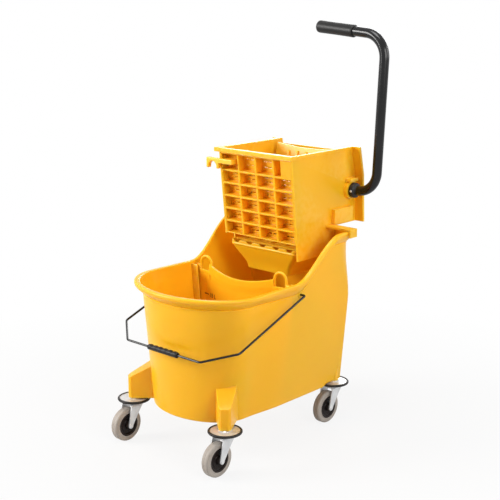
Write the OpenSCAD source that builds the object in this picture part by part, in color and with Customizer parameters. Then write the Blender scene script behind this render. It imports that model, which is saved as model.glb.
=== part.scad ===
// Mop bucket on four swivel casters with a lift-off side press wringer.
// Millimetres. +Z is up, +Y points to the back, the ground is z = 0 and x = 0 is the middle plane.

/* [Bucket] */
// Height of the underside of the bucket above the ground
floor_z = 98; // [90:1:120]
// Outside width of the bucket at its floor
bucket_floor_w = 266; // [240:1:290]
// Outside width of the bucket at the height of the front rim
bucket_rim_w = 316; // [296:1:340]
// Where the straight sides end and the rounded nose begins
nose_y = -128; // [-150:1:-110]
// How far the nose reaches forward at the floor
nose_floor_l = 99; // [80:1:110]
// How far the nose reaches forward at the rim
nose_rim_l = 116; // [100:1:130]
// Outside of the back wall at the floor
back_floor_y = 201; // [190:1:206]
// Outside of the back wall at the rim
back_rim_y = 201; // [195:1:210]
// Height of the rim round the nose
rim_front_z = 372; // [350:1:390]
// Height of the rim at the back, where the wringer hangs
rim_back_z = 462; // [440:1:480]
// Where the rim starts to climb
rise_start_y = 0; // [-20:1:20]
// Where the rim reaches its full height
rise_end_y = 142; // [120:1:160]
// Thickness of the moulded walls
bucket_wall = 4; // [3:0.5:5]
// Thickness of the floor
bucket_floor_t = 4; // [3:0.5:6]
// How far the skirt hangs below the floor
skirt_h = 6; // [4:0.5:7]
// How much the wall draws in round the nose
nose_pinch = 7.5; // [4:0.5:9]
// How far the lip stands out of the wall
lip_out = 7; // [5:0.5:8]
// How much further the lip stands out round the nose
lip_nose = 2.5; // [0:0.5:3]
// Height of the flared lip
lip_h = 24; // [20:1:28]
// Height of the lip's outer edge
lip_edge_h = 8; // [6:0.5:10]
// Rounding of the lip's edges
lip_round = 4; // [2:0.5:5]

/* [Divider] */
// Place of the lift-out divider along the bucket
divider_y = 2; // [-10:1:4]
// Thickness of the divider
divider_t = 5; // [3:0.5:6]
// How far the divider bows towards the nose
divider_bow = 18; // [10:1:26]
// Height of the divider's lowest edge above the bucket floor
divider_lift = 8; // [8:1:20]
// Height of the middle of the divider's top edge
divider_mid_z = 358; // [330:1:370]
// Height of the top of the finger loops
loop_top_z = 392; // [380:1:410]
// Distance of a finger loop's middle from the middle plane
loop_x = 112; // [100:1:118]
// Outer radius of a finger loop
loop_r = 20; // [16:1:22]
// Radius of the finger hole
loop_hole_r = 13.5; // [10:0.5:14]
// How far the finger hole reaches below the middle of its round top
loop_hole_drop = 15; // [8:1:18]
// Rounding of the finger hole's lower corners
loop_hole_corner = 3; // [1:0.5:5]
// How far the guide ribs stand out of the side walls
guide_depth = 18; // [12:1:22]
// Thickness of a guide rib
guide_t = 4; // [3:0.5:6]
// Width of the guide channel
guide_gap = 10; // [8:0.5:14]

/* [Bail] */
// Thickness of the bail wire
bail_d = 5; // [4:0.5:6]
// Distance of the bail arms from the middle plane at their pivots
bail_pivot_x = 169; // [169:0.5:172]
// Place of the bail pivots along the bucket
bail_pivot_y = 17; // [10:1:30]
// Height of the bail pivots
bail_pivot_z = 345; // [330:1:350]
// How far the bail hangs below level
bail_drop_angle = 20.2; // [19:0.1:21]
// Distance of a knee from the middle plane
bail_knee_x = 172; // [170:0.5:173]
// Reach of the knees from the pivots
bail_knee_reach = 226; // [215:1:240]
// Half of the straight front bar
bail_bar_half = 110; // [100:1:115]
// Reach of the front bar from the pivots
bail_bar_reach = 282; // [281:1:290]
// Bend radius of the wire
bail_bend_r = 12; // [8:1:16]
// Length of the moulded grip
bail_grip_l = 88; // [70:1:110]
// Diameter of the moulded grip
bail_grip_d = 12; // [10:0.5:13]
// How far the grip sits off the middle of the bar
bail_grip_x = 2; // [-30:1:30]

/* [Casters] */
// Distance of the front casters from the middle plane
front_caster_x = 141; // [134:1:148]
// Place of the front casters along the bucket
front_caster_y = -206; // [-214:1:-196]
// Distance of the back casters from the middle plane
back_caster_x = 124; // [118:1:126]
// Place of the back casters along the bucket
back_caster_y = 181; // [174:1:182]
// Diameter of a wheel
wheel_d = 76; // [70:1:78]
// Width of a tyre
wheel_w = 18; // [16:1:28]
// Distance from the swivel axis to the axle
caster_trail = 26; // [22:1:38]
// Diameter of the black hub
hub_d = 53; // [44:1:58]
// Diameter of the swivel plate with its rubber bumper
bumper_d = 74; // [66:1:80]
// Diameter of the swivel stem
stem_d = 11; // [10:0.5:12]
// Length of the stem's socket
socket_l = 40; // [30:1:46]
// Diameter of the axle bolt
axle_d = 8; // [6:0.5:10]
// Radius of the outer end of a front leg of the bucket
leg_r = 14; // [12:0.5:16]
// Height of a front leg at its outer end
leg_h = 50; // [44:1:60]
// Height of a front leg where it leaves the bucket
leg_root_h = 106; // [80:1:110]

/* [Wringer] */
// Half of the width between the outsides of the side walls
wringer_half_w = 108; // [106:0.5:112]
// Thickness of the wringer's walls
wringer_wall = 4; // [3:0.5:5]
// Height of the wringer's rim
wringer_top_z = 637; // [620:1:650]
// Front of the strainer at the rim
front_top_y = 40; // [34:1:46]
// Front of the strainer at its foot
front_foot_y = 62; // [56:1:66]
// Height of the foot of the strainer
front_foot_z = 437; // [425:1:445]
// Height of the underside of the side walls
wringer_low_z = 400; // [390:1:408]
// Outside of the back wall at the rim
wringer_back_top_y = 258; // [254:1:262]
// Outside of the back wall at its bend
wringer_back_bend_y = 273; // [270:1:276]
// Height of the bend in the back wall
wringer_back_bend_z = 572; // [560:1:580]
// Outside of the back wall at its foot
wringer_back_foot_y = 279; // [276:1:284]
// How far the rim stands out in front
rim_out = 6; // [3:0.5:8]
// How far the rim stands out beside the tool hook
rim_left_out = 9; // [6:0.5:10]
// How far the rim stands out beside the lever
rim_right_out = 2.5; // [1:0.5:4]
// Height of the rim
rim_h = 9; // [6:0.5:12]
// How far the back flange stands out of the side walls
flange_out = 22; // [16:1:26]
// Thickness of the back flange
flange_t = 6; // [4:0.5:8]
// Depth of the strainer's cells
cell_depth = 20; // [14:1:22]
// Thickness of the strainer's ribs
rib_t = 4.5; // [3:0.5:6]
// Thickness of the strainer plate
plate_t = 4; // [3:0.5:5]
// Height of the strainer's top row of cells
top_row_h = 40; // [38:1:52]
// Length of a drain slot
slot_l = 10; // [8:0.5:12]
// Height of a drain slot
slot_h = 3; // [3:0.5:6]
// Height of the foot of the drain chute
chute_foot_z = 354; // [336:1:370]

/* [Press] */
// Place of the drive shaft along the bucket
shaft_y = 246; // [244:1:248]
// Height of the drive shaft
shaft_z = 539; // [534:1:544]
// Diameter of the drive shaft
shaft_d = 16; // [14:0.5:18]
// Length of the crank arms
crank_l = 74; // [70:1:76]
// Distance of the crank arms from the middle plane
crank_x = 52; // [40:1:60]
// Thickness of a crank arm
crank_t = 8; // [6:0.5:10]
// Radius of the outer end of a crank arm
crank_r = 7; // [6:0.5:7.5]
// Diameter of the crank pins
pin_d = 7; // [6:0.5:8]
// How far the handle turns
press_angle = 75; // [60:1:78]
// Gap between the press plate and each side wall
press_side_gap = 13; // [10:1:15]
// Thickness of the press plate
press_t = 5; // [4:0.5:6]
// Front of the press plate at its top
press_top_y = 226; // [222:0.5:227]
// Height of the top of the press plate
press_top_z = 631; // [626:1:634]
// Front of the press plate at its foot
press_foot_y = 171; // [166:0.5:172]
// Height of the foot of the press plate
press_foot_z = 426; // [422:1:432]
// How far the top edge of the press plate dips in the middle
press_dip = 6; // [4:1:8]

/* [Handle] */
// Diameter of the handle tube
tube_d = 22; // [20:0.5:25]
// Wall of the handle tube
tube_wall = 1.5; // [1:0.1:2]
// Where the upright of the handle starts
upright_x = 183; // [176:1:190]
// How far the upright leans away from the wringer along its height
upright_lean = 7; // [0:1:12]
// How far the upright leans back along its height
upright_back = 9; // [6:1:14]
// Height of the handle's upper bend
handle_top_z = 886; // [860:1:900]
// Where the grip ends
grip_end_x = 8; // [-10:1:20]
// How far the grip rises towards its end
grip_rise = 15; // [8:1:20]
// Radius of the lower bend
lower_bend_r = 48; // [40:1:49]
// Radius of the upper bend
upper_bend_r = 54; // [44:1:60]
// Length of the grip
grip_l = 98; // [80:1:120]
// Diameter of the grip
grip_d = 28; // [26:0.5:32]
// Diameter of the hub where the handle meets the shaft
hub_collar_d = 36; // [32:0.5:38]

/* [Tool hook] */
// Radius of the hook's throat
hook_r = 12; // [10:0.5:13]
// How far the throat's middle stands out of the side wall
hook_reach = 13; // [12:0.5:18]
// Height of the throat's middle
hook_z = 593; // [588:1:596]
// Width of the hook from front to back
hook_w = 11; // [8:0.5:12]

/* [Hidden] */
$fn = 64;
hull_fn = 32;

// Clearances and the overrun of every cut
seat = 0.3;
running = 0.05;
over = 1;
free = 2;

// Colours
shell_yellow = "#F5A81C";
hook_yellow = "#FFC928";
paint_black = "#1A1A1C";
zinc = "#C9CBCD";
tyre_grey = "#8E8680";
hub_black = "#241E1C";

function mix(a, b, t) = a + (b - a) * t;
function ease(t) = let (u = max(0, min(1, t))) u * u * (3 - 2 * u);
function heading(v) = atan2(v.y, v.x);
function unit(v) = v / norm(v);

// Draws its 2D child in the Y-Z plane and extrudes it from x0 to x1
module along_x(x0, x1) {
  translate([x0, 0, 0])
    rotate([90, 0, 90])
      linear_extrude(x1 - x0)
        children();
}

// Draws its 2D child in the X-Z plane and extrudes it from y0 to y1
module along_y(y0, y1) {
  translate([0, y1, 0])
    rotate([90, 0, 0])
      linear_extrude(y1 - y0)
        children();
}

module rod_x(x0, x1, r) {
  translate([x0, 0, 0])
    rotate([0, 90, 0])
      cylinder(h = x1 - x0, r = r);
}

module box(low, high) {
  translate(low)
    cube(high - low);
}

module both_sides() {
  children();
  mirror([1, 0, 0])
    children();
}

// Stations, each a place and a heading, along corner points in the X-Y plane with round bends
bend_steps = 8;
function corner_turn(pts, i) =
  let (d = heading(pts[i + 1] - pts[i]) - heading(pts[i] - pts[i - 1]))
  d > 180 ? d - 360 : d < -180 ? d + 360 : d;
function bend_stations(pts, i, bend_r) =
  let (
    turn = corner_turn(pts, i),
    along = unit(pts[i] - pts[i - 1]),
    start = pts[i] - along * bend_r * tan(abs(turn) / 2),
    side = sign(turn) * [-along.y, along.x],
    centre = start + side * bend_r
  )
  [for (k = [0 : bend_steps])
    let (a = abs(turn) * k / bend_steps)
    [centre + bend_r * (along * sin(a) - side * cos(a)), heading(along) + turn * k / bend_steps]];
function stations(pts, bends) =
  let (last = len(pts) - 1)
  concat(
    [[pts[0], heading(pts[1] - pts[0])]],
    [for (i = [1 : last - 1]) each bend_stations(pts, i, bends[i])],
    [[pts[last], heading(pts[last] - pts[last - 1])]]
  );

// A round section carried along stations, hollow where the inner radius isn't zero
function section_ring(station, r, sides) = [
  for (k = [0 : sides - 1])
    let (a = 360 * k / sides, h = station[1])
    [station[0].x - sin(h) * r * cos(a), station[0].y + cos(h) * r * cos(a), r * sin(a)]
];
module swept(path, r, inner_r, sides) {
  last = len(path) - 1;
  count = len(path) * sides;
  hollow = inner_r > 0;
  outer = [for (s = path) each section_ring(s, r, sides)];
  inner = hollow ? [for (s = path) each section_ring(s, inner_r, sides)] : [];
  skin = [
    for (k = [0 : last - 1], i = [0 : sides - 1])
      let (j = (i + 1) % sides, a = k * sides, b = a + sides)
      each [[a + i, b + j, a + j], [a + i, b + i, b + j]]
  ];
  bore = [for (f = skin) [for (v = [f[0], f[2], f[1]]) v + count]];
  ends = hollow ? [
    for (k = [0, last], i = [0 : sides - 1])
      let (j = (i + 1) % sides, a = k * sides)
      each k == 0
        ? [[a + i, a + j, count + a + j], [a + i, count + a + j, count + a + i]]
        : [[a + i, count + a + j, a + j], [a + i, count + a + i, count + a + j]]
  ] : [
    for (k = [0, last], i = [1 : sides - 2])
      let (a = k * sides)
      k == 0 ? [a, a + i, a + i + 1] : [a, a + i + 1, a + i]
  ];
  polyhedron(points = concat(outer, inner), faces = concat(skin, hollow ? bore : [], ends), convexity = 8);
}

// Bucket: closed rings of points, one per height, joined into a solid
n_nose = 32;
n_side = 16;
n_corner = 5;
n_back = 1;
n_ring = n_nose + 2 * n_side + 2 * n_corner + n_back;
foot_round = 3;
floor_round = 6;
corner_low_r = 8;
corner_high_r = 52;
lip_corner_r = 26;
scoop_from_z = 290;
pinch_end_y = -20;
skirt_t = 5;
wall_steps = 8;
round_steps = 3;

function draft(z) = (z - floor_z) / (rim_front_z - floor_z);
function side_x(z) = mix(bucket_floor_w, bucket_rim_w, draft(z)) / 2;
function nose_l(z) = mix(nose_floor_l, nose_rim_l, draft(z));
function back_y(z) = mix(back_floor_y, back_rim_y, draft(z));
function corner_r(z) =
  mix(corner_low_r, corner_high_r, ease((z - scoop_from_z) / (rim_back_z - lip_h - scoop_from_z)));
function rim_z(y) = mix(rim_front_z, rim_back_z, ease((y - rise_start_y) / (rise_end_y - rise_start_y)));

// Point i of a ring with half width a, nose length b, back wall at back and corner radius r,
// drawn in by pinch round the nose
function side_pinch(y, pinch) = pinch * (1 - ease((y - nose_y) / (pinch_end_y - nose_y)));
function side_point(a, y, pinch) = [a - side_pinch(y, pinch), y];
function ring_point(i, a, b, back, r, pinch) =
  let (
    side = i - n_nose,
    corner = side - n_side,
    rear = corner - n_corner,
    corner2 = rear - n_back,
    side2 = corner2 - n_corner
  )
  side < 0 ?
    [(a - pinch) * cos(180 + 180 * i / n_nose), nose_y + (b - pinch) * sin(180 + 180 * i / n_nose)] :
  corner < 0 ? side_point(a, mix(nose_y, back - r, side / n_side), pinch) :
  rear < 0 ? [a - r + r * cos(90 * corner / n_corner), back - r + r * sin(90 * corner / n_corner)] :
  corner2 < 0 ? [mix(a - r, r - a, rear / n_back), back] :
  side2 < 0 ? [r - a - r * sin(90 * corner2 / n_corner), back - r + r * cos(90 * corner2 / n_corner)] :
  let (p = side_point(a, mix(back - r, nose_y, side2 / n_side), pinch)) [-p.x, p.y];

function wall_point(i, z, grow, r, pinch) =
  concat(ring_point(i, side_x(z) + grow, nose_l(z) + grow, back_y(z) + grow, r, pinch), z);
rim_heights = [
  for (i = [0 : n_ring - 1])
    rim_z(ring_point(i, bucket_rim_w / 2, nose_rim_l, back_rim_y, lip_corner_r, 0).y)
];

// Wall at a share of the local height from base to the lip, grown outwards by grow
function wall_ring(base, share, grow) = [
  for (i = [0 : n_ring - 1])
    let (z = mix(base, rim_heights[i] - lip_h, share))
    wall_point(i, z, grow, corner_r(z) + grow, nose_pinch)
];
function foot_ring(z, grow) = [
  for (i = [0 : n_ring - 1])
    wall_point(i, z, grow, corner_low_r + max(grow, -corner_low_r / 2), nose_pinch)
];
// Lip at a drop below the rim, grown outwards by grow and drawn in by pinch
function lip_ring(drop, grow, pinch) = [
  for (i = [0 : n_ring - 1])
    wall_point(i, rim_heights[i] - drop, grow, lip_corner_r, pinch)
];

// Joins the rings and closes both ends with strips across the middle plane
module loft(rings) {
  n = len(rings[0]);
  last = len(rings) - 1;
  half = (n - 1) / 2;
  nose = n_nose / 2;
  right = [for (m = [0 : half]) (nose + m) % n];
  left = [for (m = [0 : half]) (nose - m + n) % n];
  points = [for (ring = rings) each ring];
  walls = [
    for (k = [0 : last - 1], i = [0 : n - 1])
      let (j = (i + 1) % n, a = k * n, b = a + n)
      each [[a + i, b + j, a + j], [a + i, b + i, b + j]]
  ];
  bottom = [
    for (m = [0 : half - 1])
      each [[left[m], right[m], right[m + 1]], [left[m], right[m + 1], left[m + 1]]]
  ];
  top = [for (f = bottom) [for (v = [f[0], f[2], f[1]]) v + last * n]];
  faces = [for (f = concat(walls, bottom, top)) if (f[0] != f[1] && f[1] != f[2] && f[0] != f[2]) f];
  polyhedron(points = points, faces = faces, convexity = 6);
}

module bucket_outside() {
  base = floor_z - skirt_h;
  loft(concat(
    [for (k = [0 : round_steps - 1])
      let (a = 90 * k / round_steps)
      foot_ring(base + foot_round * (1 - cos(a)), -foot_round * (1 - sin(a)))],
    [for (k = [0 : wall_steps]) wall_ring(base + foot_round, k / wall_steps, 0)],
    [lip_ring(lip_edge_h, lip_out, -lip_nose)],
    [for (k = [0 : round_steps])
      let (a = 90 * k / round_steps)
      lip_ring(lip_round * (1 - sin(a)), lip_out - lip_round * (1 - cos(a)), -lip_nose)]
  ));
}

module bucket_inside() {
  base = floor_z + bucket_floor_t;
  loft(concat(
    [for (k = [0 : round_steps - 1])
      let (a = 90 * k / round_steps)
      foot_ring(base + floor_round * (1 - cos(a)), -bucket_wall - floor_round * (1 - sin(a)))],
    [for (k = [0 : wall_steps]) wall_ring(base + floor_round, k / wall_steps, -bucket_wall)],
    [for (k = [0 : round_steps])
      let (a = 90 * k / round_steps)
      lip_ring(lip_round * (1 - sin(a)), -bucket_wall + lip_round * (1 - cos(a)), 0)],
    [lip_ring(-over, lip_round - bucket_wall, 0)]
  ));
}

// Hollow under the floor that leaves the skirt, and the room for the back casters' plates
skirt_clear = 3;
module skirt_recess() {
  loft([foot_ring(floor_z - skirt_h - over, -skirt_t), foot_ring(floor_z, -skirt_t)]);
  both_sides()
    translate([back_caster_x, back_caster_y, floor_z - skirt_h - over])
      cylinder(h = skirt_h + over, r = bumper_d / 2 + skirt_clear);
}

// Front leg: a wedge that runs from the nose out to the caster
leg_root_x_share = 0.66;
leg_root_y_share = 0.72;
leg_root_r = 32;

module front_leg() {
  root = [front_caster_x * leg_root_x_share, front_caster_y * leg_root_y_share, floor_z];
  hull() {
    translate([front_caster_x, front_caster_y, floor_z])
      cylinder(h = leg_h, r = leg_r, $fn = hull_fn);
    translate(root)
      cylinder(h = leg_root_h, r = leg_root_r, $fn = hull_fn);
  }
}

// Pair of ribs on a side wall that hold the edge of the divider
guide_top_drop = 6;
module divider_guides() {
  z0 = floor_z + bucket_floor_t / 2;
  z1 = rim_front_z - guide_top_drop;
  for (y = [divider_y - guide_gap / 2 - guide_t, divider_y + guide_gap / 2])
    along_y(y, y + guide_t)
      polygon([
        [side_x(z0) - bucket_wall / 2, z0],
        [side_x(z1) - bucket_wall / 2, z1],
        [side_x(z1) - bucket_wall - guide_depth, z1],
        [side_x(z0) - bucket_wall - guide_depth, z0]
      ]);
}

socket_wall = 2.5;
socket_r = stem_d / 2 + socket_wall;
boss_wall = 4.5;
boss_r = socket_r + boss_wall;
boss_cap = 4;

caster_places = [
  [-front_caster_x, front_caster_y], [front_caster_x, front_caster_y],
  [-back_caster_x, back_caster_y], [back_caster_x, back_caster_y]
];
module at_casters() {
  for (p = caster_places)
    translate([p.x, p.y, 0])
      children();
}

bail_hole_r = bail_d / 2 + running;
bail_sleeve_r = 8;
bail_sleeve_out = 1.5;
bail_sleeve_in = 1.5;
bail_seat_x = side_x(bail_pivot_z) - bucket_wall - bail_sleeve_in;

module bucket() {
  color(shell_yellow)
    difference() {
      union() {
        difference() {
          union() {
            difference() {
              bucket_outside();
              skirt_recess();
            }
            both_sides()
              front_leg();
          }
          bucket_inside();
        }
        both_sides() {
          divider_guides();
          intersection() {
            translate([back_caster_x, back_caster_y, floor_z])
              cylinder(h = socket_l + boss_cap, r = boss_r);
            bucket_outside();
          }
          translate([0, bail_pivot_y, bail_pivot_z])
            rod_x(bail_seat_x, side_x(bail_pivot_z) + bail_sleeve_out, bail_sleeve_r);
        }
      }
      at_casters()
        translate([0, 0, floor_z - over])
          cylinder(h = socket_l + over, r = socket_r + running);
      both_sides()
        translate([0, bail_pivot_y, bail_pivot_z])
          rod_x(bail_seat_x - over, side_x(bail_pivot_z) + bail_sleeve_out + over, bail_hole_r);
    }
}

// Casters, from the bucket down: socket, plate with bumper, race, fork, axle, hub and tyre
plate_gap = 2;
bumper_h = 6;
bumper_t = 4;
dish_t = 3;
dish_rim = 1.5;
race_h = 5;
race_r = 17;
fork_top_t = 3.5;
plate_top = floor_z - plate_gap;
dish_z = plate_top - bumper_h;
race_z = dish_z - race_h + dish_rim;
fork_z = race_z - seat - fork_top_t;
stem_head_h = 3;
stem_head_r = 9;
axle_z = wheel_d / 2;

module caster_sockets() {
  color(zinc)
    at_casters()
      translate([0, 0, floor_z])
        difference() {
          cylinder(h = socket_l, r = socket_r);
          translate([0, 0, -over])
            cylinder(h = socket_l + 2 * over, r = stem_d / 2 + running);
        }
}

module caster_stems() {
  color(zinc)
    at_casters() {
      translate([0, 0, fork_z - stem_head_h])
        cylinder(h = floor_z + socket_l - fork_z, r = stem_d / 2);
      translate([0, 0, fork_z - seat - stem_head_h])
        cylinder(h = stem_head_h, r = stem_head_r);
    }
}

module swivel_plates() {
  color(zinc)
    at_casters()
      difference() {
        union() {
          translate([0, 0, dish_z + dish_rim])
            cylinder(h = dish_t, r = bumper_d / 2 - bumper_t);
          translate([0, 0, dish_z + dish_rim + dish_t])
            cylinder(h = floor_z - dish_z - dish_rim - dish_t, r1 = race_r, r2 = boss_r);
        }
        cylinder(h = floor_z + over, r = stem_d / 2 + running);
      }
}

module bumper_rings() {
  r = bumper_d / 2;
  color(paint_black)
    at_casters()
      rotate_extrude()
        difference() {
          translate([r - bumper_h / 2, dish_z + bumper_h / 2])
            circle(d = bumper_h);
          translate([0, dish_z])
            square([r - bumper_t, bumper_h]);
        }
}

module swivel_races() {
  color(zinc)
    at_casters()
      difference() {
        translate([0, 0, race_z])
          cylinder(h = race_h, r = race_r);
        translate([0, 0, race_z - over])
          cylinder(h = race_h + 2 * over, r = stem_d / 2 + running);
      }
}

fork_leg_t = 3;
fork_gap = 5.5;
fork_leg_x = wheel_w / 2 + fork_gap;
fork_front_share = 0.55;
fork_back_share = 0.47;
fork_eye_r = 8;

// Side view of a fork leg: broad under the race and round at the axle
module fork_leg_shape() {
  top = fork_z + fork_top_t;
  front = -caster_trail * fork_front_share - fork_eye_r;
  back = caster_trail * fork_back_share;
  eye = [-caster_trail, axle_z];
  polygon([
    [front, top], [back, top], [back, fork_z],
    [eye.x + fork_eye_r, eye.y], [eye.x, eye.y - fork_eye_r], [eye.x - fork_eye_r, eye.y],
    [front, fork_z]
  ]);
  translate(eye)
    circle(r = fork_eye_r);
}

module fork(place) {
  color(zinc)
    translate([place.x, place.y, 0])
      difference() {
        union() {
          for (s = [-1, 1])
            along_x(min(s * fork_leg_x, s * (fork_leg_x + fork_leg_t)),
                    max(s * fork_leg_x, s * (fork_leg_x + fork_leg_t)))
              fork_leg_shape();
          box([-fork_leg_x, -caster_trail * fork_front_share - fork_eye_r, fork_z],
              [fork_leg_x, caster_trail * fork_back_share, fork_z + fork_top_t]);
        }
        translate([0, 0, fork_z - over])
          cylinder(h = fork_top_t + 2 * over, r = stem_d / 2 + running);
        translate([0, -caster_trail, axle_z])
          rod_x(-fork_leg_x - fork_leg_t - over, fork_leg_x + fork_leg_t + over, axle_d / 2);
      }
}

bolt_head_h = 4;
bolt_head_r = 6.5;
hex = 6;
module axle(place) {
  reach = fork_leg_x + fork_leg_t;
  color(zinc)
    translate([place.x, place.y - caster_trail, axle_z]) {
      rod_x(-reach, reach, axle_d / 2);
      rod_x(reach, reach + bolt_head_h, bolt_head_r, $fn = hex);
      rod_x(-reach - bolt_head_h, -reach, bolt_head_r, $fn = hex);
    }
}

hub_web_w_share = 0.5;
hub_rim_t = 5;
hub_boss_r = 11;
// Black core of a wheel: a rim, a web and a boss that runs on the axle
module hub(place) {
  bore = axle_d / 2 + running;
  half = wheel_w / 2;
  web = half * hub_web_w_share;
  boss = half + fork_gap - seat;
  rim = hub_d / 2;
  color(hub_black)
    translate([place.x, place.y - caster_trail, axle_z])
      rotate([0, 90, 0])
        rotate_extrude()
          polygon([
            [bore, -boss], [hub_boss_r, -boss], [hub_boss_r, -web], [rim - hub_rim_t, -web],
            [rim - hub_rim_t, -half], [rim, -half], [rim, half], [rim - hub_rim_t, half],
            [rim - hub_rim_t, web], [hub_boss_r, web], [hub_boss_r, boss], [bore, boss]
          ]);
}

tyre_round = 3.5;
// Grey tyre: a ring with rounded shoulders
module tyre(place) {
  half = wheel_w / 2;
  color(tyre_grey)
    translate([place.x, place.y - caster_trail, axle_z])
      rotate([0, 90, 0])
        rotate_extrude() {
          translate([hub_d / 2, -half])
            square([wheel_d / 2 - tyre_round - hub_d / 2, wheel_w]);
          translate([hub_d / 2, tyre_round - half])
            square([wheel_d / 2 - hub_d / 2, wheel_w - 2 * tyre_round]);
          for (s = [-1, 1])
            translate([wheel_d / 2 - tyre_round, s * (half - tyre_round)])
              circle(r = tyre_round);
        }
}

// Bail: one bent wire whose ends turn in through the side walls
bail_tail = 5;
bail_pivot_bend_r = 4;
bail_bends = [0, bail_pivot_bend_r, bail_bend_r, bail_bend_r, 0];
bail_sides = 10;
bail_end_x = bail_seat_x - bail_tail;
function bail_arm() = [
  [bail_pivot_x - bail_pivot_bend_r - over, 0], [bail_pivot_x, 0], [bail_knee_x, -bail_knee_reach],
  [bail_bar_half, -bail_bar_reach], [bail_bar_half - bail_bend_r - over, -bail_bar_reach]
];

// Places its children in the plane of the hanging bail
module in_bail() {
  translate([0, bail_pivot_y, bail_pivot_z])
    rotate([bail_drop_angle, 0, 0])
      children();
}

module bail_wire() {
  color(paint_black)
    in_bail() {
      both_sides() {
        swept(stations(bail_arm(), bail_bends), bail_d / 2 - running, 0, bail_sides);
        rod_x(bail_end_x, bail_pivot_x - bail_pivot_bend_r, bail_d / 2);
      }
      translate([0, -bail_bar_reach, 0])
        rod_x(bail_bend_r - bail_bar_half, bail_bar_half - bail_bend_r, bail_d / 2);
    }
}

retainer_t = 1.5;
retainer_r = 6;
module bail_retainers() {
  inner = bail_seat_x - seat;
  color(zinc)
    both_sides()
      translate([0, bail_pivot_y, bail_pivot_z])
        difference() {
          rod_x(inner - retainer_t, inner, retainer_r);
          rod_x(inner - retainer_t - over, inner + over, bail_hole_r);
        }
}

ridge_count = 6;
ridge_h = 1.25;
ridge_share = 0.55;
module bail_grip() {
  pitch = bail_grip_l / ridge_count;
  start = bail_grip_x - bail_grip_l / 2;
  color(paint_black)
    in_bail()
      translate([0, -bail_bar_reach, 0])
        difference() {
          union() {
            rod_x(start, start + bail_grip_l, bail_grip_d / 2);
            for (k = [0 : ridge_count - 1])
              rod_x(start + pitch * k + pitch * (1 - ridge_share) / 2,
                    start + pitch * k + pitch * (1 + ridge_share) / 2, bail_grip_d / 2 + ridge_h);
          }
          rod_x(start - over, start + bail_grip_l + over, bail_hole_r);
        }
}

// Divider: a bowed plate with a scooped top edge and a finger loop at each end
divider_clear = 0.4;
function divider_x(z) = side_x(z) - bucket_wall - divider_clear;
divider_foot_z = floor_z + bucket_floor_t + divider_lift;
divider_arc_half = side_x(floor_z) - bucket_wall - guide_depth - free;
divider_r = (divider_arc_half * divider_arc_half + divider_bow * divider_bow) / (2 * divider_bow);
loop_z = loop_top_z - loop_r;
divider_end_z = loop_z - loop_hole_r;
scoop_half = loop_x - loop_r;
scoop_steps = 12;

// Arched hole with a flat foot
module finger_hole() {
  hull() {
    circle(r = loop_hole_r);
    for (side = [-1, 1])
      translate([side * (loop_hole_r - loop_hole_corner), loop_hole_corner - loop_hole_drop])
        circle(r = loop_hole_corner);
  }
}

module divider_shape() {
  difference() {
    union() {
      polygon(concat(
        [[-divider_x(divider_foot_z), divider_foot_z], [divider_x(divider_foot_z), divider_foot_z],
         [divider_x(divider_end_z), divider_end_z], [loop_x, loop_z]],
        [for (k = [0 : scoop_steps])
          let (t = 1 - 2 * k / scoop_steps)
          [scoop_half * t, mix(divider_mid_z, loop_z, t * t)]],
        [[-loop_x, loop_z], [-divider_x(divider_end_z), divider_end_z]]
      ));
      for (s = [-1, 1])
        translate([s * loop_x, loop_z])
          circle(r = loop_r);
    }
    for (s = [-1, 1])
      translate([s * loop_x, loop_z])
        finger_hole();
  }
}

module divider() {
  color(shell_yellow)
    intersection() {
      along_y(divider_y - divider_bow - divider_t, divider_y + divider_t)
        divider_shape();
      union() {
        difference() {
          translate([0, divider_y - divider_bow + divider_r, 0])
            cylinder(h = loop_top_z + over, r = divider_r + divider_t / 2, $fn = 360);
          translate([0, divider_y - divider_bow + divider_r, -over])
            cylinder(h = loop_top_z + 3 * over, r = divider_r - divider_t / 2, $fn = 360);
          translate([-divider_r * 2, divider_y + divider_t / 2, -over])
            cube([divider_r * 4, divider_r * 4, loop_top_z + 3 * over]);
        }
        both_sides()
          box([divider_arc_half - divider_t, divider_y - divider_t / 2, 0],
              [divider_x(loop_top_z), divider_y + divider_t / 2, loop_top_z]);
      }
    }
}

// Wringer frame: two side walls, a leaning back wall with flanges, a floor and rim hooks
hang_z = rim_back_z + seat;
hang_t = 4;
inner_back_y = back_y(rim_back_z) - bucket_wall - free;
front_lean = (front_foot_y - front_top_y) / (wringer_top_z - front_foot_z);
front_angle = atan(front_lean);
function front_y(z) = front_foot_y - (z - front_foot_z) * front_lean;
function wringer_back_y(z) =
  z > wringer_back_bend_z
    ? mix(wringer_back_bend_y, wringer_back_top_y,
          (z - wringer_back_bend_z) / (wringer_top_z - wringer_back_bend_z))
    : mix(wringer_back_foot_y, wringer_back_bend_y, (z - hang_z) / (wringer_back_bend_z - hang_z));
wringer_inner_x = wringer_half_w - wringer_wall;
back_wall_top_z = press_top_z - press_dip;

module side_wall_shape() {
  polygon([
    [front_y(wringer_top_z), wringer_top_z], [front_y(wringer_low_z), wringer_low_z],
    [inner_back_y, wringer_low_z], [inner_back_y, hang_z],
    [wringer_back_y(hang_z), hang_z], [wringer_back_bend_y, wringer_back_bend_z],
    [wringer_back_y(wringer_top_z), wringer_top_z]
  ]);
}

module back_strip(low, high, t) {
  polygon([
    [wringer_back_y(low) - t, low], [wringer_back_y(low), low],
    [wringer_back_bend_y, wringer_back_bend_z], [wringer_back_y(high), high],
    [wringer_back_y(high) - t, high], [wringer_back_bend_y - t, wringer_back_bend_z]
  ]);
}

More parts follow.
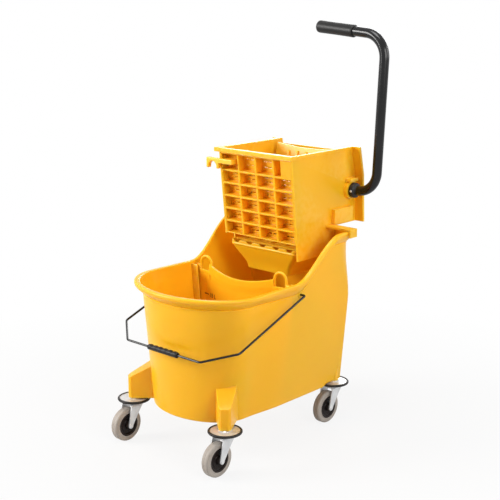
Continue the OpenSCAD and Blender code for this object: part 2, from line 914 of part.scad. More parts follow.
// Rails that carry the press plate, and the notches that run on them
rail_h = 6;
rail_depth = 16;
rail_z_shares = [0.14, 0.62];
function rail_z(k) = mix(press_foot_z, press_top_z, rail_z_shares[k]);
press_lean = (press_top_y - press_foot_y) / (press_top_z - press_foot_z);
function press_y(z) = press_foot_y + (z - press_foot_z) * press_lean;
press_depth = press_t * norm([1, press_lean]);
press_half_w = wringer_inner_x - press_side_gap;
crank_ratio = crank_l * sin(press_angle) / (press_angle * PI / 180);
press_travel = crank_l * sin(press_angle);

hook_block_front_y = 183;
hook_block_back_y = 250;
hook_block_out = 10;
hook_block_h = 32;
hook_block_lift = 7;
rim_hook_l = 24;
rim_hook_drop = 14;
rim_hook_t = 5;
rim_hook_inset = 9;
boss_ring_r = 21;
boss_ring_out = 10;
boss_ring_x = wringer_half_w + boss_ring_out;
hood_low = hub_collar_d / 2 + free;
hood_t = 7;
hood_half_l = 14;
hood_reach = 5;
floor_slot_count = 5;
floor_slot_w = 12;
floor_slot_end = 14;
bush_wall = 4;
bush_r = shaft_d / 2 + bush_wall;
bush_flange_t = 2;

module rim_hook() {
  lip_x = side_x(rim_back_z) + lip_out + seat;
  y1 = inner_back_y - rim_hook_inset;
  box([wringer_half_w - wringer_wall / 2, y1 - rim_hook_l, hang_z],
      [lip_x + rim_hook_t, y1, hang_z + rim_hook_t]);
  box([lip_x, y1 - rim_hook_l, hang_z - rim_hook_drop],
      [lip_x + rim_hook_t, y1, hang_z + rim_hook_t]);
}

module frame_side() {
  along_x(wringer_inner_x, wringer_half_w)
    side_wall_shape();
  along_x(wringer_inner_x, wringer_half_w + flange_out)
    back_strip(hang_z, wringer_top_z, flange_t);
  block_z = hang_z + hook_block_lift;
  box([wringer_half_w - wringer_wall / 2, hook_block_front_y, block_z],
      [wringer_half_w + hook_block_out, hook_block_back_y, block_z + hook_block_h]);
  rim_hook();
  translate([0, shaft_y, shaft_z]) {
    rod_x(wringer_inner_x, boss_ring_x, boss_ring_r);
    box([wringer_inner_x, -hood_half_l, hood_low], [boss_ring_x + hood_reach, hood_half_l, hood_low + hood_t]);
  }
  for (k = [0, 1])
    box([wringer_inner_x - rail_depth, press_y(rail_z(k)) - press_travel - 2 * press_depth, rail_z(k)],
        [wringer_half_w - wringer_wall / 2, press_y(rail_z(k)) + 2 * press_depth, rail_z(k) + rail_h]);
}

module wringer_frame() {
  color(shell_yellow)
    difference() {
      union() {
        both_sides()
          frame_side();
        along_x(-wringer_half_w, wringer_half_w)
          back_strip(hang_z, back_wall_top_z, wringer_wall);
        wringer_rim();
        box([-wringer_half_w, inner_back_y - wringer_wall, hang_z],
            [wringer_half_w, wringer_back_y(hang_z), hang_z + hang_t]);
        box([-wringer_half_w, inner_back_y - wringer_wall, wringer_low_z],
            [wringer_half_w, inner_back_y, hang_z + hang_t]);
        floor_plate();
      }
      translate([0, shaft_y, shaft_z])
        rod_x(-boss_ring_x - over, boss_ring_x + over, bush_r + running);
      box([-wringer_half_w - over, front_top_y, wringer_low_z - over],
          [-wringer_inner_x + over, floor_front_y, front_foot_z - free]);
    }
}

// Rim round the mouth, widest beside the tool hook
module wringer_rim() {
  low = wringer_top_z - rim_h;
  front = front_top_y - rim_out;
  box([-wringer_half_w - rim_left_out, front, low], [-wringer_inner_x, wringer_back_top_y, wringer_top_z]);
  box([wringer_inner_x, front, low], [wringer_half_w + rim_right_out, wringer_back_top_y, wringer_top_z]);
  box([-wringer_half_w, front, low], [wringer_half_w, front_top_y + rim_out, wringer_top_z]);
}

// Slotted floor that the wet mop stands on
floor_drop = 6;
floor_plate_z = press_foot_z - floor_drop - wringer_wall;
floor_front_y = front_y(floor_plate_z) + cell_depth + plate_t + free;
module floor_plate() {
  y0 = floor_front_y;
  y1 = inner_back_y;
  pitch = 2 * wringer_inner_x / floor_slot_count;
  difference() {
    box([-wringer_half_w, y0, floor_plate_z], [wringer_half_w, y1, floor_plate_z + wringer_wall]);
    for (k = [0 : floor_slot_count - 1])
      translate([pitch * (k + 1 / 2) - wringer_inner_x - floor_slot_w / 2, y0 + floor_slot_end,
                 floor_plate_z - over])
        cube([floor_slot_w, y1 - y0 - 2 * floor_slot_end - wringer_wall, wringer_wall + 2 * over]);
  }
}

// Strainer: a slotted plate behind a grid of ribs, four cells wide and six high
cell_columns = 4;
cell_rows = 6;
slots_across = 3;
slots_down = 2;
strainer_half_w = wringer_inner_x - seat;
strainer_h = (wringer_top_z - rim_h - free - front_foot_z) / cos(front_angle);
row_h = (strainer_h - top_row_h) / (cell_rows - 1);
column_w = 2 * strainer_half_w / cell_columns;

// Lowest edge and height of row k, counted from the foot
function row_low(k) = row_h * k;
function row_height(k) = k == cell_rows - 1 ? top_row_h : row_h;

module in_strainer() {
  translate([0, front_foot_y, front_foot_z])
    rotate([90 + front_angle, 0, 0])
      children();
}

module strainer_slots() {
  for (k = [0 : cell_rows - 1], c = [0 : cell_columns - 1])
    if (!(k == cell_rows - 1 && (c == 0 || c == cell_columns - 1)))
      for (i = [1 : slots_across], j = [1 : slots_down])
        translate([
          -strainer_half_w + column_w * c + column_w * i / (slots_across + 1) - slot_l / 2,
          row_low(k) + row_height(k) * j / (slots_down + 1) - slot_h / 2
        ])
          square([slot_l, slot_h]);
}

module strainer_cells() {
  for (k = [0 : cell_rows - 1], c = [0 : cell_columns - 1])
    translate([-strainer_half_w + column_w * c + rib_t / 2, row_low(k) + rib_t / 2])
      square([column_w - rib_t, row_height(k) - rib_t]);
}

// The corner cell beside the lever is partly filled
corner_block_share = 0.58;
module corner_block() {
  w = column_w * corner_block_share;
  translate([strainer_half_w - w, row_low(cell_rows - 1)])
    square([w, top_row_h]);
}

module strainer_outline() {
  translate([-strainer_half_w, 0])
    square([2 * strainer_half_w, strainer_h]);
}

module strainer() {
  color(shell_yellow)
    in_strainer() {
      translate([0, 0, -cell_depth - plate_t])
        linear_extrude(plate_t)
          difference() {
            strainer_outline();
            strainer_slots();
          }
      translate([0, 0, -cell_depth])
        linear_extrude(cell_depth) {
          difference() {
            strainer_outline();
            strainer_cells();
          }
          corner_block();
        }
    }
}

// Drain chute: a funnel below the strainer that throws the water down
chute_top_drop = 15;
chute_top_z = front_foot_z - chute_top_drop;
chute_inset = 4;
chute_t = 3;
chute_side_gap = 5;
chute_taper = 35;
chute_top_half = wringer_inner_x - chute_side_gap;
chute_foot_half = chute_top_half - chute_taper;
chute_foot_back = 26;
chute_round = 10;
chute_back_y = inner_back_y - wringer_wall - free;
chute_steps = 8;
chute_notches = 5;
chute_notch_r = 11;
chute_notch_drop = 5;
n_chute_corner = 5;

// U-shaped outline seen from above, from the back of one side round to the back of the other
function chute_side(half, front, r, back) = [
  [half, back],
  for (k = [0 : n_chute_corner]) let (a = 90 * k / n_chute_corner)
    [half - r + r * cos(a), front + r - r * sin(a)]
];
function chute_line(half, front, r, back) =
  let (right = chute_side(half, front, r, back))
  concat(right, [for (k = [len(right) - 1 : -1 : 0]) [-right[k].x, right[k].y]]);
function chute_outline(t) =
  let (
    half = mix(chute_top_half, chute_foot_half, ease(t)),
    front = front_y(chute_top_z) + chute_inset + chute_foot_back * ease(t),
    inner = chute_line(half - chute_t, front + chute_t, chute_round - chute_t, chute_back_y)
  )
  concat(
    chute_line(half, front, chute_round, chute_back_y),
    [for (k = [len(inner) - 1 : -1 : 0]) inner[k]]
  );

module chute_shell() {
  rings = [
    for (k = [0 : chute_steps])
      let (z = mix(chute_foot_z, chute_top_z, k / chute_steps))
      [for (p = chute_outline(1 - k / chute_steps)) [p.x, p.y, z]]
  ];
  n = len(rings[0]);
  half = n / 2;
  walls = [
    for (k = [0 : chute_steps - 1], i = [0 : n - 1])
      let (j = (i + 1) % n, a = k * n, b = a + n)
      each [[a + i, a + j, b + j], [a + i, b + j, b + i]]
  ];
  bottom = [
    for (i = [0 : half - 2])
      each [[i, n - 1 - i, i + 1], [i + 1, n - 1 - i, n - 2 - i]]
  ];
  top = [for (f = bottom) [for (v = [f[0], f[2], f[1]]) v + chute_steps * n]];
  polyhedron(points = [for (r = rings) each r], faces = concat(walls, bottom, top), convexity = 6);
}

module drain_chute() {
  pitch = 2 * chute_top_half / chute_notches;
  color(shell_yellow)
    difference() {
      chute_shell();
      for (k = [0 : chute_notches - 1])
        translate([pitch * (k + 1 / 2) - chute_top_half, chute_back_y / 2, chute_top_z + chute_notch_drop])
          rotate([90, 0, 0])
            cylinder(h = chute_back_y, r = chute_notch_r, center = true);
      box([-wringer_half_w, floor_front_y - free, floor_plate_z - seat],
          [wringer_half_w, chute_back_y + over, chute_top_z + over]);
    }
}

module shaft_bushes() {
  color(paint_black)
    both_sides()
      translate([0, shaft_y, shaft_z])
        difference() {
          union() {
            rod_x(wringer_inner_x, boss_ring_x, bush_r);
            rod_x(wringer_inner_x - bush_flange_t, wringer_inner_x, bush_r + bush_flange_t);
          }
          rod_x(wringer_inner_x - bush_flange_t - over, boss_ring_x + over,
                shaft_d / 2 + running);
        }
}

// Tool hook: an arm with a downturned throat, fixed in the corner cell of the strainer
hook_wall = 7;
hook_arm_h = 8;
hook_cell_gap = 7;
hook_x = wringer_half_w + hook_reach;
hook_arm_end_x = column_w - rib_t / 2 - hook_cell_gap - strainer_half_w;
hook_tip_drop = 4;
hook_base_x0 = rib_t / 2 + hook_cell_gap - strainer_half_w;
hook_base_h = 22;
module tool_hook() {
  arm_low = hook_z + hook_r;
  y1 = front_y(arm_low + hook_arm_h) - seat;
  y0 = y1 - hook_w;
  base_back = front_y(hook_z + hook_base_h) + cell_depth - free;
  color(hook_yellow)
    difference() {
      union() {
        along_y(y0, y1) {
          translate([-hook_x - hook_r - hook_wall, arm_low - hook_wall / 2])
            square([hook_x + hook_r + hook_wall + hook_arm_end_x, hook_arm_h + hook_wall / 2]);
          translate([-hook_x - hook_r - hook_wall, hook_z - hook_tip_drop])
            square([2 * (hook_r + hook_wall), hook_r + hook_tip_drop]);
        }
        box([hook_base_x0, y1 - over, arm_low - hook_wall / 2],
            [hook_arm_end_x, base_back, arm_low + hook_arm_h]);
      }
      translate([-hook_x, y0 - over, hook_z])
        rotate([-90, 0, 0])
          cylinder(h = hook_w + 2 * over, r = hook_r);
      box([-hook_x - hook_r, y0 - over, hook_z - hook_tip_drop - over],
          [-hook_x + hook_r, y1 + over, hook_z]);
    }
}

// Press plate: a leaning ribbed plate with two slotted yokes behind it
press_rib_count = 7;
press_rib_w = 6;
press_rib_h = 5;
yoke_t = 6;
yoke_back = 10;
track_r = pin_d / 2 + seat;
track_steps = 20;
press_dip_steps = 10;

// Centre of the crank pin at a turn of the handle, seen from the press plate
function track_point(turn) = [
  shaft_y - crank_l * sin(turn) + crank_ratio * turn * PI / 180,
  shaft_z + crank_l * cos(turn)
];
function track_normal(turn) =
  let (d = track_point(turn + 1) - track_point(turn - 1)) unit([-d.y, d.x]);

module yoke_track() {
  turns = [for (k = [0 : track_steps]) press_angle * k / track_steps];
  polygon(concat(
    [for (t = turns) track_point(t) + track_normal(t) * track_r],
    [for (k = [track_steps : -1 : 0]) track_point(turns[k]) - track_normal(turns[k]) * track_r]
  ));
  for (t = [0, press_angle])
    translate(track_point(t))
      circle(r = track_r);
}

module yoke_shape() {
  low = shaft_z + shaft_d / 2 + seat;
  high = track_point(0).y + yoke_back / 2;
  difference() {
    polygon([
      [press_y(low) + press_depth / 2, low], [shaft_y + yoke_back, low], [shaft_y + yoke_back, high],
      [press_y(press_top_z) + press_depth / 2, high],
      [press_y(press_top_z) + press_depth / 2, press_top_z - press_dip]
    ]);
    yoke_track();
  }
}

module press_outline() {
  difference() {
    polygon(concat(
      [[-press_half_w, press_foot_z], [press_half_w, press_foot_z]],
      [for (k = [0 : press_dip_steps])
        let (t = 1 - 2 * k / press_dip_steps)
        [press_half_w * t, mix(press_top_z - press_dip, press_top_z, t * t)]]
    ));
    for (k = [0, 1], s = [-1, 1])
      translate([s * press_half_w - rail_depth / 2, rail_z(k) - seat])
        square([rail_depth, rail_h + 2 * seat]);
  }
}

module press_plate() {
  color(shell_yellow) {
    intersection() {
      along_y(press_foot_y - press_depth, press_top_y + 2 * press_depth)
        press_outline();
      along_x(-press_half_w, press_half_w)
        polygon([
          [press_y(press_foot_z), press_foot_z], [press_y(press_foot_z) + press_depth, press_foot_z],
          [press_y(press_top_z) + press_depth, press_top_z], [press_y(press_top_z), press_top_z]
        ]);
    }
    for (k = [0 : press_rib_count - 1])
      let (x = mix(-press_half_w, press_half_w, (k + 1 / 2) / press_rib_count) - press_rib_w / 2,
           low = press_foot_z + press_rib_w, high = press_top_z - press_dip - press_rib_w)
      if (abs(x + press_rib_w / 2) < press_half_w - rail_depth)
        along_x(x, x + press_rib_w)
          polygon([
            [press_y(low) + press_depth / 2, low], [press_y(high) + press_depth / 2, high],
            [press_y(high - press_rib_h) - press_rib_h, high - press_rib_h],
            [press_y(low + press_rib_h) - press_rib_h, low + press_rib_h]
          ]);
    both_sides()
      along_x(crank_x - yoke_t, crank_x)
        yoke_shape();
  }
}

// Drive: a shaft with two crank arms whose pins run in the yokes
retainer_w = 6;
shaft_left_x = -boss_ring_x - seat - retainer_w;
collar_x = boss_ring_x + seat;
collar_w = 16;
shaft_right_x = collar_x + collar_w - over;
cross_pin_d = 5;
cross_pin_out = 1;

module cross_pin(l) {
  translate([collar_x + collar_w / 2, shaft_y, shaft_z])
    rotate([90, 0, 0])
      cylinder(h = l, d = cross_pin_d, center = true);
}

module drive_shaft() {
  color(zinc)
    difference() {
      translate([0, shaft_y, shaft_z])
        rod_x(shaft_left_x, shaft_right_x, shaft_d / 2);
      cross_pin(hub_collar_d);
    }
}

crank_hub_wall = 5;
crank_hub_r = shaft_d / 2 + crank_hub_wall;
module crank_arms() {
  color(paint_black)
    both_sides()
      translate([crank_x + seat, shaft_y, shaft_z])
        difference() {
          union() {
            rod_x(0, crank_t, crank_hub_r);
            translate([0, 0, crank_l])
              rod_x(0, crank_t, crank_r);
            along_x(0, crank_t)
              polygon([[-crank_hub_r, 0], [crank_hub_r, 0], [crank_r, crank_l], [-crank_r, crank_l]]);
          }
          rod_x(-over, crank_t + over, shaft_d / 2);
          translate([0, 0, crank_l])
            rod_x(-over, crank_t + over, pin_d / 2);
        }
}

module crank_pins() {
  color(zinc)
    both_sides()
      translate([0, shaft_y, shaft_z + crank_l])
        rod_x(crank_x - yoke_t - free, crank_x + seat + crank_t, pin_d / 2);
}

module shaft_retainer() {
  color(paint_black)
    translate([0, shaft_y, shaft_z])
      difference() {
        rod_x(shaft_left_x, shaft_left_x + retainer_w, hub_collar_d / 2);
        rod_x(shaft_left_x - over, shaft_left_x + retainer_w + over, shaft_d / 2);
      }
}

// Handle: a tube that leaves the shaft sideways, turns up and turns in again over the mouth
function handle_points() = [
  [collar_x + collar_w, shaft_z], [upright_x, shaft_z],
  [upright_x + upright_lean, handle_top_z], [grip_end_x, handle_top_z + grip_rise]
];
handle_bends = [0, lower_bend_r, upper_bend_r, 0];
tube_sides = 20;
handle_back_angle = atan(upright_back / (handle_top_z - shaft_z));

// Places its children, drawn with X and Z as X and Y, in the leaning plane of the handle
module in_handle() {
  translate([0, shaft_y, shaft_z])
    rotate([90 - handle_back_angle, 0, 0])
      translate([0, -shaft_z, 0])
        children();
}

module handle_tube() {
  color(paint_black)
    in_handle()
      swept(stations(handle_points(), handle_bends), tube_d / 2, tube_d / 2 - tube_wall, tube_sides);
}

grip_cap = 4;
module handle_grip() {
  pts = handle_points();
  d = unit(pts[2] - pts[3]);
  color(paint_black)
    in_handle()
      translate([pts[3].x, pts[3].y, 0])
        rotate([0, 90, heading(d)])
          difference() {
            translate([0, 0, -grip_cap])
              cylinder(h = grip_l + grip_cap, r = grip_d / 2);
            cylinder(h = grip_l + over, r = tube_d / 2 + running);
          }
}

module handle_collar() {
  color(paint_black)
    difference() {
      translate([0, shaft_y, shaft_z])
        difference() {
          rod_x(collar_x, collar_x + collar_w, hub_collar_d / 2);
          rod_x(collar_x - over, shaft_right_x, shaft_d / 2);
        }
      cross_pin(hub_collar_d + 2 * over);
    }
}

module collar_pin() {
  color(zinc)
    cross_pin(hub_collar_d + 2 * cross_pin_out);
}

bucket();
caster_sockets();
caster_stems();
swivel_plates();
bumper_rings();
swivel_races();
bail_retainers();
divider();
bail_wire();
bail_grip();
fork(caster_places[0]);  // fork_front_left
axle(caster_places[0]);  // axle_front_left
hub(caster_places[0]);  // hub_front_left
tyre(caster_places[0]);  // tyre_front_left
fork(caster_places[1]);  // fork_front_right
axle(caster_places[1]);  // axle_front_right
hub(caster_places[1]);  // hub_front_right
tyre(caster_places[1]);  // tyre_front_right
fork(caster_places[2]);  // fork_back_left
axle(caster_places[2]);  // axle_back_left
hub(caster_places[2]);  // hub_back_left
tyre(caster_places[2]);  // tyre_back_left
fork(caster_places[3]);  // fork_back_right
axle(caster_places[3]);  // axle_back_right
hub(caster_places[3]);  // hub_back_right
tyre(caster_places[3]);  // tyre_back_right
wringer_frame();
strainer();
drain_chute();
shaft_bushes();
tool_hook();
press_plate();
drive_shaft();
crank_arms();
crank_pins();
shaft_retainer();
handle_collar();
collar_pin();
handle_tube();
handle_grip();
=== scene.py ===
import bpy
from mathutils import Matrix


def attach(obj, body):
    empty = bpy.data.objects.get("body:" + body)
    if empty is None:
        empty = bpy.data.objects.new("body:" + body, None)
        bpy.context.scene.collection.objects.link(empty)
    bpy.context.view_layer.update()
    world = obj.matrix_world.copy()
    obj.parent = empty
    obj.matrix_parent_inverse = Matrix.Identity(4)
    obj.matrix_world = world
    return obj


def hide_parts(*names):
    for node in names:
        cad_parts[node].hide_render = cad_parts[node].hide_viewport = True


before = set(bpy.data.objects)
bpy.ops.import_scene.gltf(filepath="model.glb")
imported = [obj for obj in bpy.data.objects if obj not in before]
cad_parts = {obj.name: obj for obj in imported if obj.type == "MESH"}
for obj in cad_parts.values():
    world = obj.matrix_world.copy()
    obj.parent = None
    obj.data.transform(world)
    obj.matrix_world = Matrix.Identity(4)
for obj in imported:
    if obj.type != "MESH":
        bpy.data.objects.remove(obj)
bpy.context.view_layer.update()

import math

import bmesh
import bpy
from mathutils import Matrix, Vector

scene = bpy.context.scene

# Studio: a white sweep with soft lamps, seen from the height of a standing buyer.
# The floor is matt white card; what the camera sees of it stays white but for the contact shadows.
# Lamps are softboxes: a strong one in front on the left, weaker ones on the right, behind and overhead.
CAMERA_PLACE = Vector((1.589, -1.735, 0.990))
CAMERA_AIM = Vector((0, 0, 0.350))
lens = bpy.data.cameras.new("photo_view")
lens.lens = 78.2
lens.sensor_width = 36
lens.shift_x = 0.0162
lens.shift_y = 0.0624
camera = bpy.data.objects.new("photo_view", lens)
camera.location = CAMERA_PLACE
camera.rotation_euler = (CAMERA_AIM - CAMERA_PLACE).to_track_quat("-Z", "Y").to_euler()
scene.collection.objects.link(camera)
scene.camera = camera
scene.view_settings.view_transform = "Standard"


def add_node(tree, kind, values=None, **fields):
    """Adds a node; a value that is a socket is wired, any other is typed into the socket."""
    node = tree.nodes.new(kind)
    for name, field in fields.items():
        setattr(node, name, field)
    for name, value in (values or {}).items():
        if isinstance(value, bpy.types.NodeSocket):
            tree.links.new(value, node.inputs[name])
        else:
            node.inputs[name].default_value = value
    return node


def calc(tree, operation, a, b=0.0):
    return add_node(tree, "ShaderNodeMath", {0: a, 1: b}, operation=operation).outputs[0]


def seen_directly(tree):
    """1 where a ray comes from the camera, or from gloss or glass, and 0 for the rest."""
    path = add_node(tree, "ShaderNodeLightPath")
    seen = calc(tree, "MAXIMUM", path.outputs["Is Camera Ray"], path.outputs["Is Glossy Ray"])
    return calc(tree, "MAXIMUM", seen, path.outputs["Is Transmission Ray"])


WHITE = (1, 1, 1, 1)
world = bpy.data.worlds.new("white_room")
scene.world = world
world.use_nodes = True
tree = world.node_tree
tree.nodes.clear()
room = add_node(tree, "ShaderNodeBackground", {"Color": (0.95, 0.97, 1, 1), "Strength": 0.04})
white = add_node(tree, "ShaderNodeBackground", {"Color": WHITE, "Strength": 1.0})
both = add_node(
    tree, "ShaderNodeMixShader", {0: seen_directly(tree), 1: room.outputs[0], 2: white.outputs[0]}
)
add_node(tree, "ShaderNodeOutputWorld", {"Surface": both.outputs[0]})

FLOOR_HALF_SIZE = 14
GLOW_NEAR, GLOW_FAR = 0.35, 1.1
card = bpy.data.materials.new("white_card")
card.use_nodes = True
tree = card.node_tree
tree.nodes.clear()
matt = add_node(tree, "ShaderNodeBsdfDiffuse", {"Color": (0.6, 0.6, 0.6, 1)})
glow = add_node(tree, "ShaderNodeEmission", {"Color": WHITE, "Strength": 1.0})
place = add_node(tree, "ShaderNodeTexCoord").outputs["Object"]
away = add_node(tree, "ShaderNodeVectorMath", {0: place}, operation="LENGTH").outputs["Value"]
glowing = add_node(
    tree, "ShaderNodeMapRange",
    {"Value": away, "From Min": GLOW_NEAR, "From Max": GLOW_FAR, "To Min": 0.87, "To Max": 1.0},
)
share = calc(tree, "MULTIPLY", seen_directly(tree), glowing.outputs[0])
both = add_node(tree, "ShaderNodeMixShader", {0: share, 1: matt.outputs[0], 2: glow.outputs[0]})
add_node(tree, "ShaderNodeOutputMaterial", {"Surface": both.outputs[0]})
bm = bmesh.new()
bmesh.ops.create_grid(bm, x_segments=1, y_segments=1, size=FLOOR_HALF_SIZE)
mesh = bpy.data.meshes.new("studio_floor")
bm.to_mesh(mesh)
bm.free()
mesh.materials.append(card)
floor = bpy.data.objects.new("studio_floor", mesh)
scene.collection.objects.link(floor)

LAMP_AIM = Vector((0, 0, 0.4))
for name, place, size, power, tint in (
    ("key_softbox", (-1.85, -2.15, 1.5), 1.3, 102, (1, 0.99, 0.97)),
    ("side_softbox", (2.6, -0.6, 1.5), 1.4, 44, (1, 0.99, 0.97)),
    ("back_softbox", (2.0, 1.8, 1.5), 1.4, 24, (1, 1, 1)),
    ("top_softbox", (0.2, -0.3, 2.5), 0.9, 22, (1, 1, 1)),
    ("rear_softbox", (-1.4, 2.4, 1.4), 1.4, 30, (1, 1, 1)),
):
    lamp = bpy.data.lights.new(name, "AREA")
    lamp.shape = "SQUARE"
    lamp.size = size
    lamp.energy = power
    lamp.color = tint
    softbox = bpy.data.objects.new(name, lamp)
    softbox.location = place
    softbox.rotation_euler = (LAMP_AIM - Vector(place)).to_track_quat("-Z", "Y").to_euler()
    scene.collection.objects.link(softbox)

# Bucket: one deep injection-moulded shell of satin yellow polypropylene with a rounded nose.
# The rim climbs to the back and flares outwards into a lip; the corners are scooped below it.
# Front legs, divider guides, back bosses and bail sleeves are moulded with it.
MM = 0.001
FLOOR_Z, SKIRT_H, SKIRT_T, FOOT_ROUND, FLOOR_ROUND = 98, 6, 5, 3, 6
RIM_FRONT_Z, RIM_BACK_Z = 372, 462
FLOOR_HALF, RIM_HALF = 133, 158
NOSE_Y, NOSE_FLOOR, NOSE_RIM, NOSE_PINCH, PINCH_END_Y = -128, 99, 116, 7.5, -20
BACK_Y = 201
RISE_END_Y = 142
WALL, LIP_OUT, LIP_NOSE, LIP_H, LIP_EDGE, LIP_ROUND = 4, 7, 2.5, 24, 8, 4
CORNER_LOW, CORNER_HIGH, CORNER_LIP = 8, 52, 26
SCOOP_LOW_Z, SCOOP_HIGH_Z = 290, 438
CASTER_FRONT, CASTER_BACK = (141, -206), (124, 181)
PLATE_ROOM = 41
NOSE_STEPS, SIDE_STEPS, CORNER_STEPS, BACK_STEPS = 80, 60, 10, 14
WALL_STEPS, ROUND_STEPS = 16, 5
RING_STEPS = NOSE_STEPS + 2 * SIDE_STEPS + 2 * CORNER_STEPS + BACK_STEPS


def between(a, b, t):
    return a + (b - a) * t


def eased(t):
    t = min(1, max(0, t))
    return t * t * (3 - 2 * t)


def draft(z):
    return (z - FLOOR_Z) / (RIM_FRONT_Z - FLOOR_Z)


def side_x(z):
    return between(FLOOR_HALF, RIM_HALF, draft(z))


def nose_l(z):
    return between(NOSE_FLOOR, NOSE_RIM, draft(z))


def plan_point(i, half, nose, back, corner, pinch):
    """Point i of the bucket's outline seen from above, from the left of the nose round to the right."""
    if i < NOSE_STEPS:
        turn = math.pi * (1 + i / NOSE_STEPS)
        return (half - pinch) * math.cos(turn), NOSE_Y + (nose - pinch) * math.sin(turn)
    i -= NOSE_STEPS
    if i >= SIDE_STEPS + 2 * CORNER_STEPS + BACK_STEPS:
        i = SIDE_STEPS + CORNER_STEPS * 2 + BACK_STEPS + SIDE_STEPS - i
        if i == SIDE_STEPS:
            return -half, back - corner
        x, y = plan_point(NOSE_STEPS + i, half, nose, back, corner, pinch)
        return -x, y
    if i < SIDE_STEPS:
        y = between(NOSE_Y, back - corner, i / SIDE_STEPS)
        return half - pinch * (1 - eased((y - NOSE_Y) / (PINCH_END_Y - NOSE_Y))), y
    i -= SIDE_STEPS
    if i < CORNER_STEPS:
        turn = math.pi / 2 * i / CORNER_STEPS
        return half - corner + corner * math.cos(turn), back - corner + corner * math.sin(turn)
    i -= CORNER_STEPS
    if i < BACK_STEPS:
        return between(half - corner, corner - half, i / BACK_STEPS), back
    turn = math.pi / 2 * (i - BACK_STEPS) / CORNER_STEPS
    return corner - half - corner * math.sin(turn), back - corner + corner * math.cos(turn)


def shell_point(i, z, grow, corner, pinch):
    return (*plan_point(i, side_x(z) + grow, nose_l(z) + grow, BACK_Y + grow, corner, pinch), z)


def rim_z(y):
    return between(RIM_FRONT_Z, RIM_BACK_Z, eased(y / RISE_END_Y))


RIM = [rim_z(plan_point(i, RIM_HALF, NOSE_RIM, BACK_Y, CORNER_LIP, 0)[1]) for i in range(RING_STEPS)]
SKIRT = []
for i in range(RING_STEPS):
    x, y, z = shell_point(i, FLOOR_Z, 0, CORNER_LOW, NOSE_PINCH)
    away = math.hypot(abs(x) - CASTER_BACK[0], y - CASTER_BACK[1])
    SKIRT.append(SKIRT_H * eased((away - PLATE_ROOM) / 3))


def wall_ring(share, grow, base, top_drop):
    """Ring of the wall at a share of its height, from a base up to a drop below the rim."""
    ring = []
    for i in range(RING_STEPS):
        z = between(base, RIM[i] - top_drop, share)
        scoop = eased((z - SCOOP_LOW_Z) / (SCOOP_HIGH_Z - SCOOP_LOW_Z))
        ring.append(shell_point(i, z, grow, between(CORNER_LOW, CORNER_HIGH, scoop) + grow, NOSE_PINCH))
    return ring


def foot_ring(rise, grow, skirt=0):
    """Ring at a rise above the floor's underside, let down by a share of the skirt."""
    corner = CORNER_LOW + max(grow, -CORNER_LOW / 2)
    heights = [FLOOR_Z + rise - skirt * drop for drop in SKIRT]
    return [shell_point(i, heights[i], grow, corner, NOSE_PINCH) for i in range(RING_STEPS)]


def lip_ring(drop, grow, pinch):
    """Ring of the lip at a drop below the rim."""
    return [shell_point(i, RIM[i] - drop, grow, CORNER_LIP, pinch) for i in range(RING_STEPS)]


def crease_ring(drop, grow):
    """Ring of the wall's top, where the lip begins."""
    return wall_ring(1, grow, FLOOR_Z, drop)


def start_row(bm, places, closed=True):
    """A row of vertices joined by edges, closed into a ring unless it is told otherwise."""
    row = [bm.verts.new(place) for place in places]
    for a, b in zip(row, row[1:] + row[:1] if closed else row[1:]):
        bm.edges.new((a, b))
    return row


def row_edges(bm, row):
    found = [bm.edges.get((a, b)) for a, b in zip(row, row[1:] + row[:1])]
    return [edge for edge in found if edge]


def grow_row(bm, row, places):
    """Extrudes a row of vertices and moves the new row to its places."""
    made = bmesh.ops.extrude_edge_only(bm, edges=row_edges(bm, row))["geom"]
    fresh = {v for v in made if isinstance(v, bmesh.types.BMVert)}
    new = [next(e.other_vert(v) for e in v.link_edges if e.other_vert(v) in fresh) for v in row]
    for vert, place in zip(new, places):
        vert.co = place
    return new


def quarter(steps):
    """Angles from nothing up to a quarter turn."""
    return [math.pi / 2 * k / steps for k in range(steps + 1)]


def make_piece(name, bm, material, body, nodes=(), sharp=38):
    """Turns a mesh drawn in millimetres into a finished piece that rides on its body."""
    bmesh.ops.remove_doubles(bm, verts=bm.verts, dist=0.001)
    bmesh.ops.recalc_face_normals(bm, faces=bm.faces)
    bmesh.ops.scale(bm, vec=(MM, MM, MM), verts=bm.verts)
    mesh = bpy.data.meshes.new(name)
    bm.to_mesh(mesh)
    bm.free()
    mesh.materials.append(material)
    mesh.shade_smooth()
    mesh.set_sharp_from_angle(angle=math.radians(sharp))
    piece = bpy.data.objects.new(name, mesh)
    scene.collection.objects.link(piece)
    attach(piece, body)
    if nodes:
        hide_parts(*nodes)
    return piece


def mix_colour(tree, factor, a, b):
    return add_node(tree, "ShaderNodeMix", {0: factor, 6: a, 7: b}, data_type="RGBA").outputs[2]


def spread(tree, value, low, high, to_low=0.0, to_high=1.0):
    """Stretches the part of a value between low and high to another range, and clips the rest."""
    values = {"Value": value, "From Min": low, "From Max": high, "To Min": to_low, "To Max": to_high}
    return add_node(tree, "ShaderNodeMapRange", values).outputs[0]


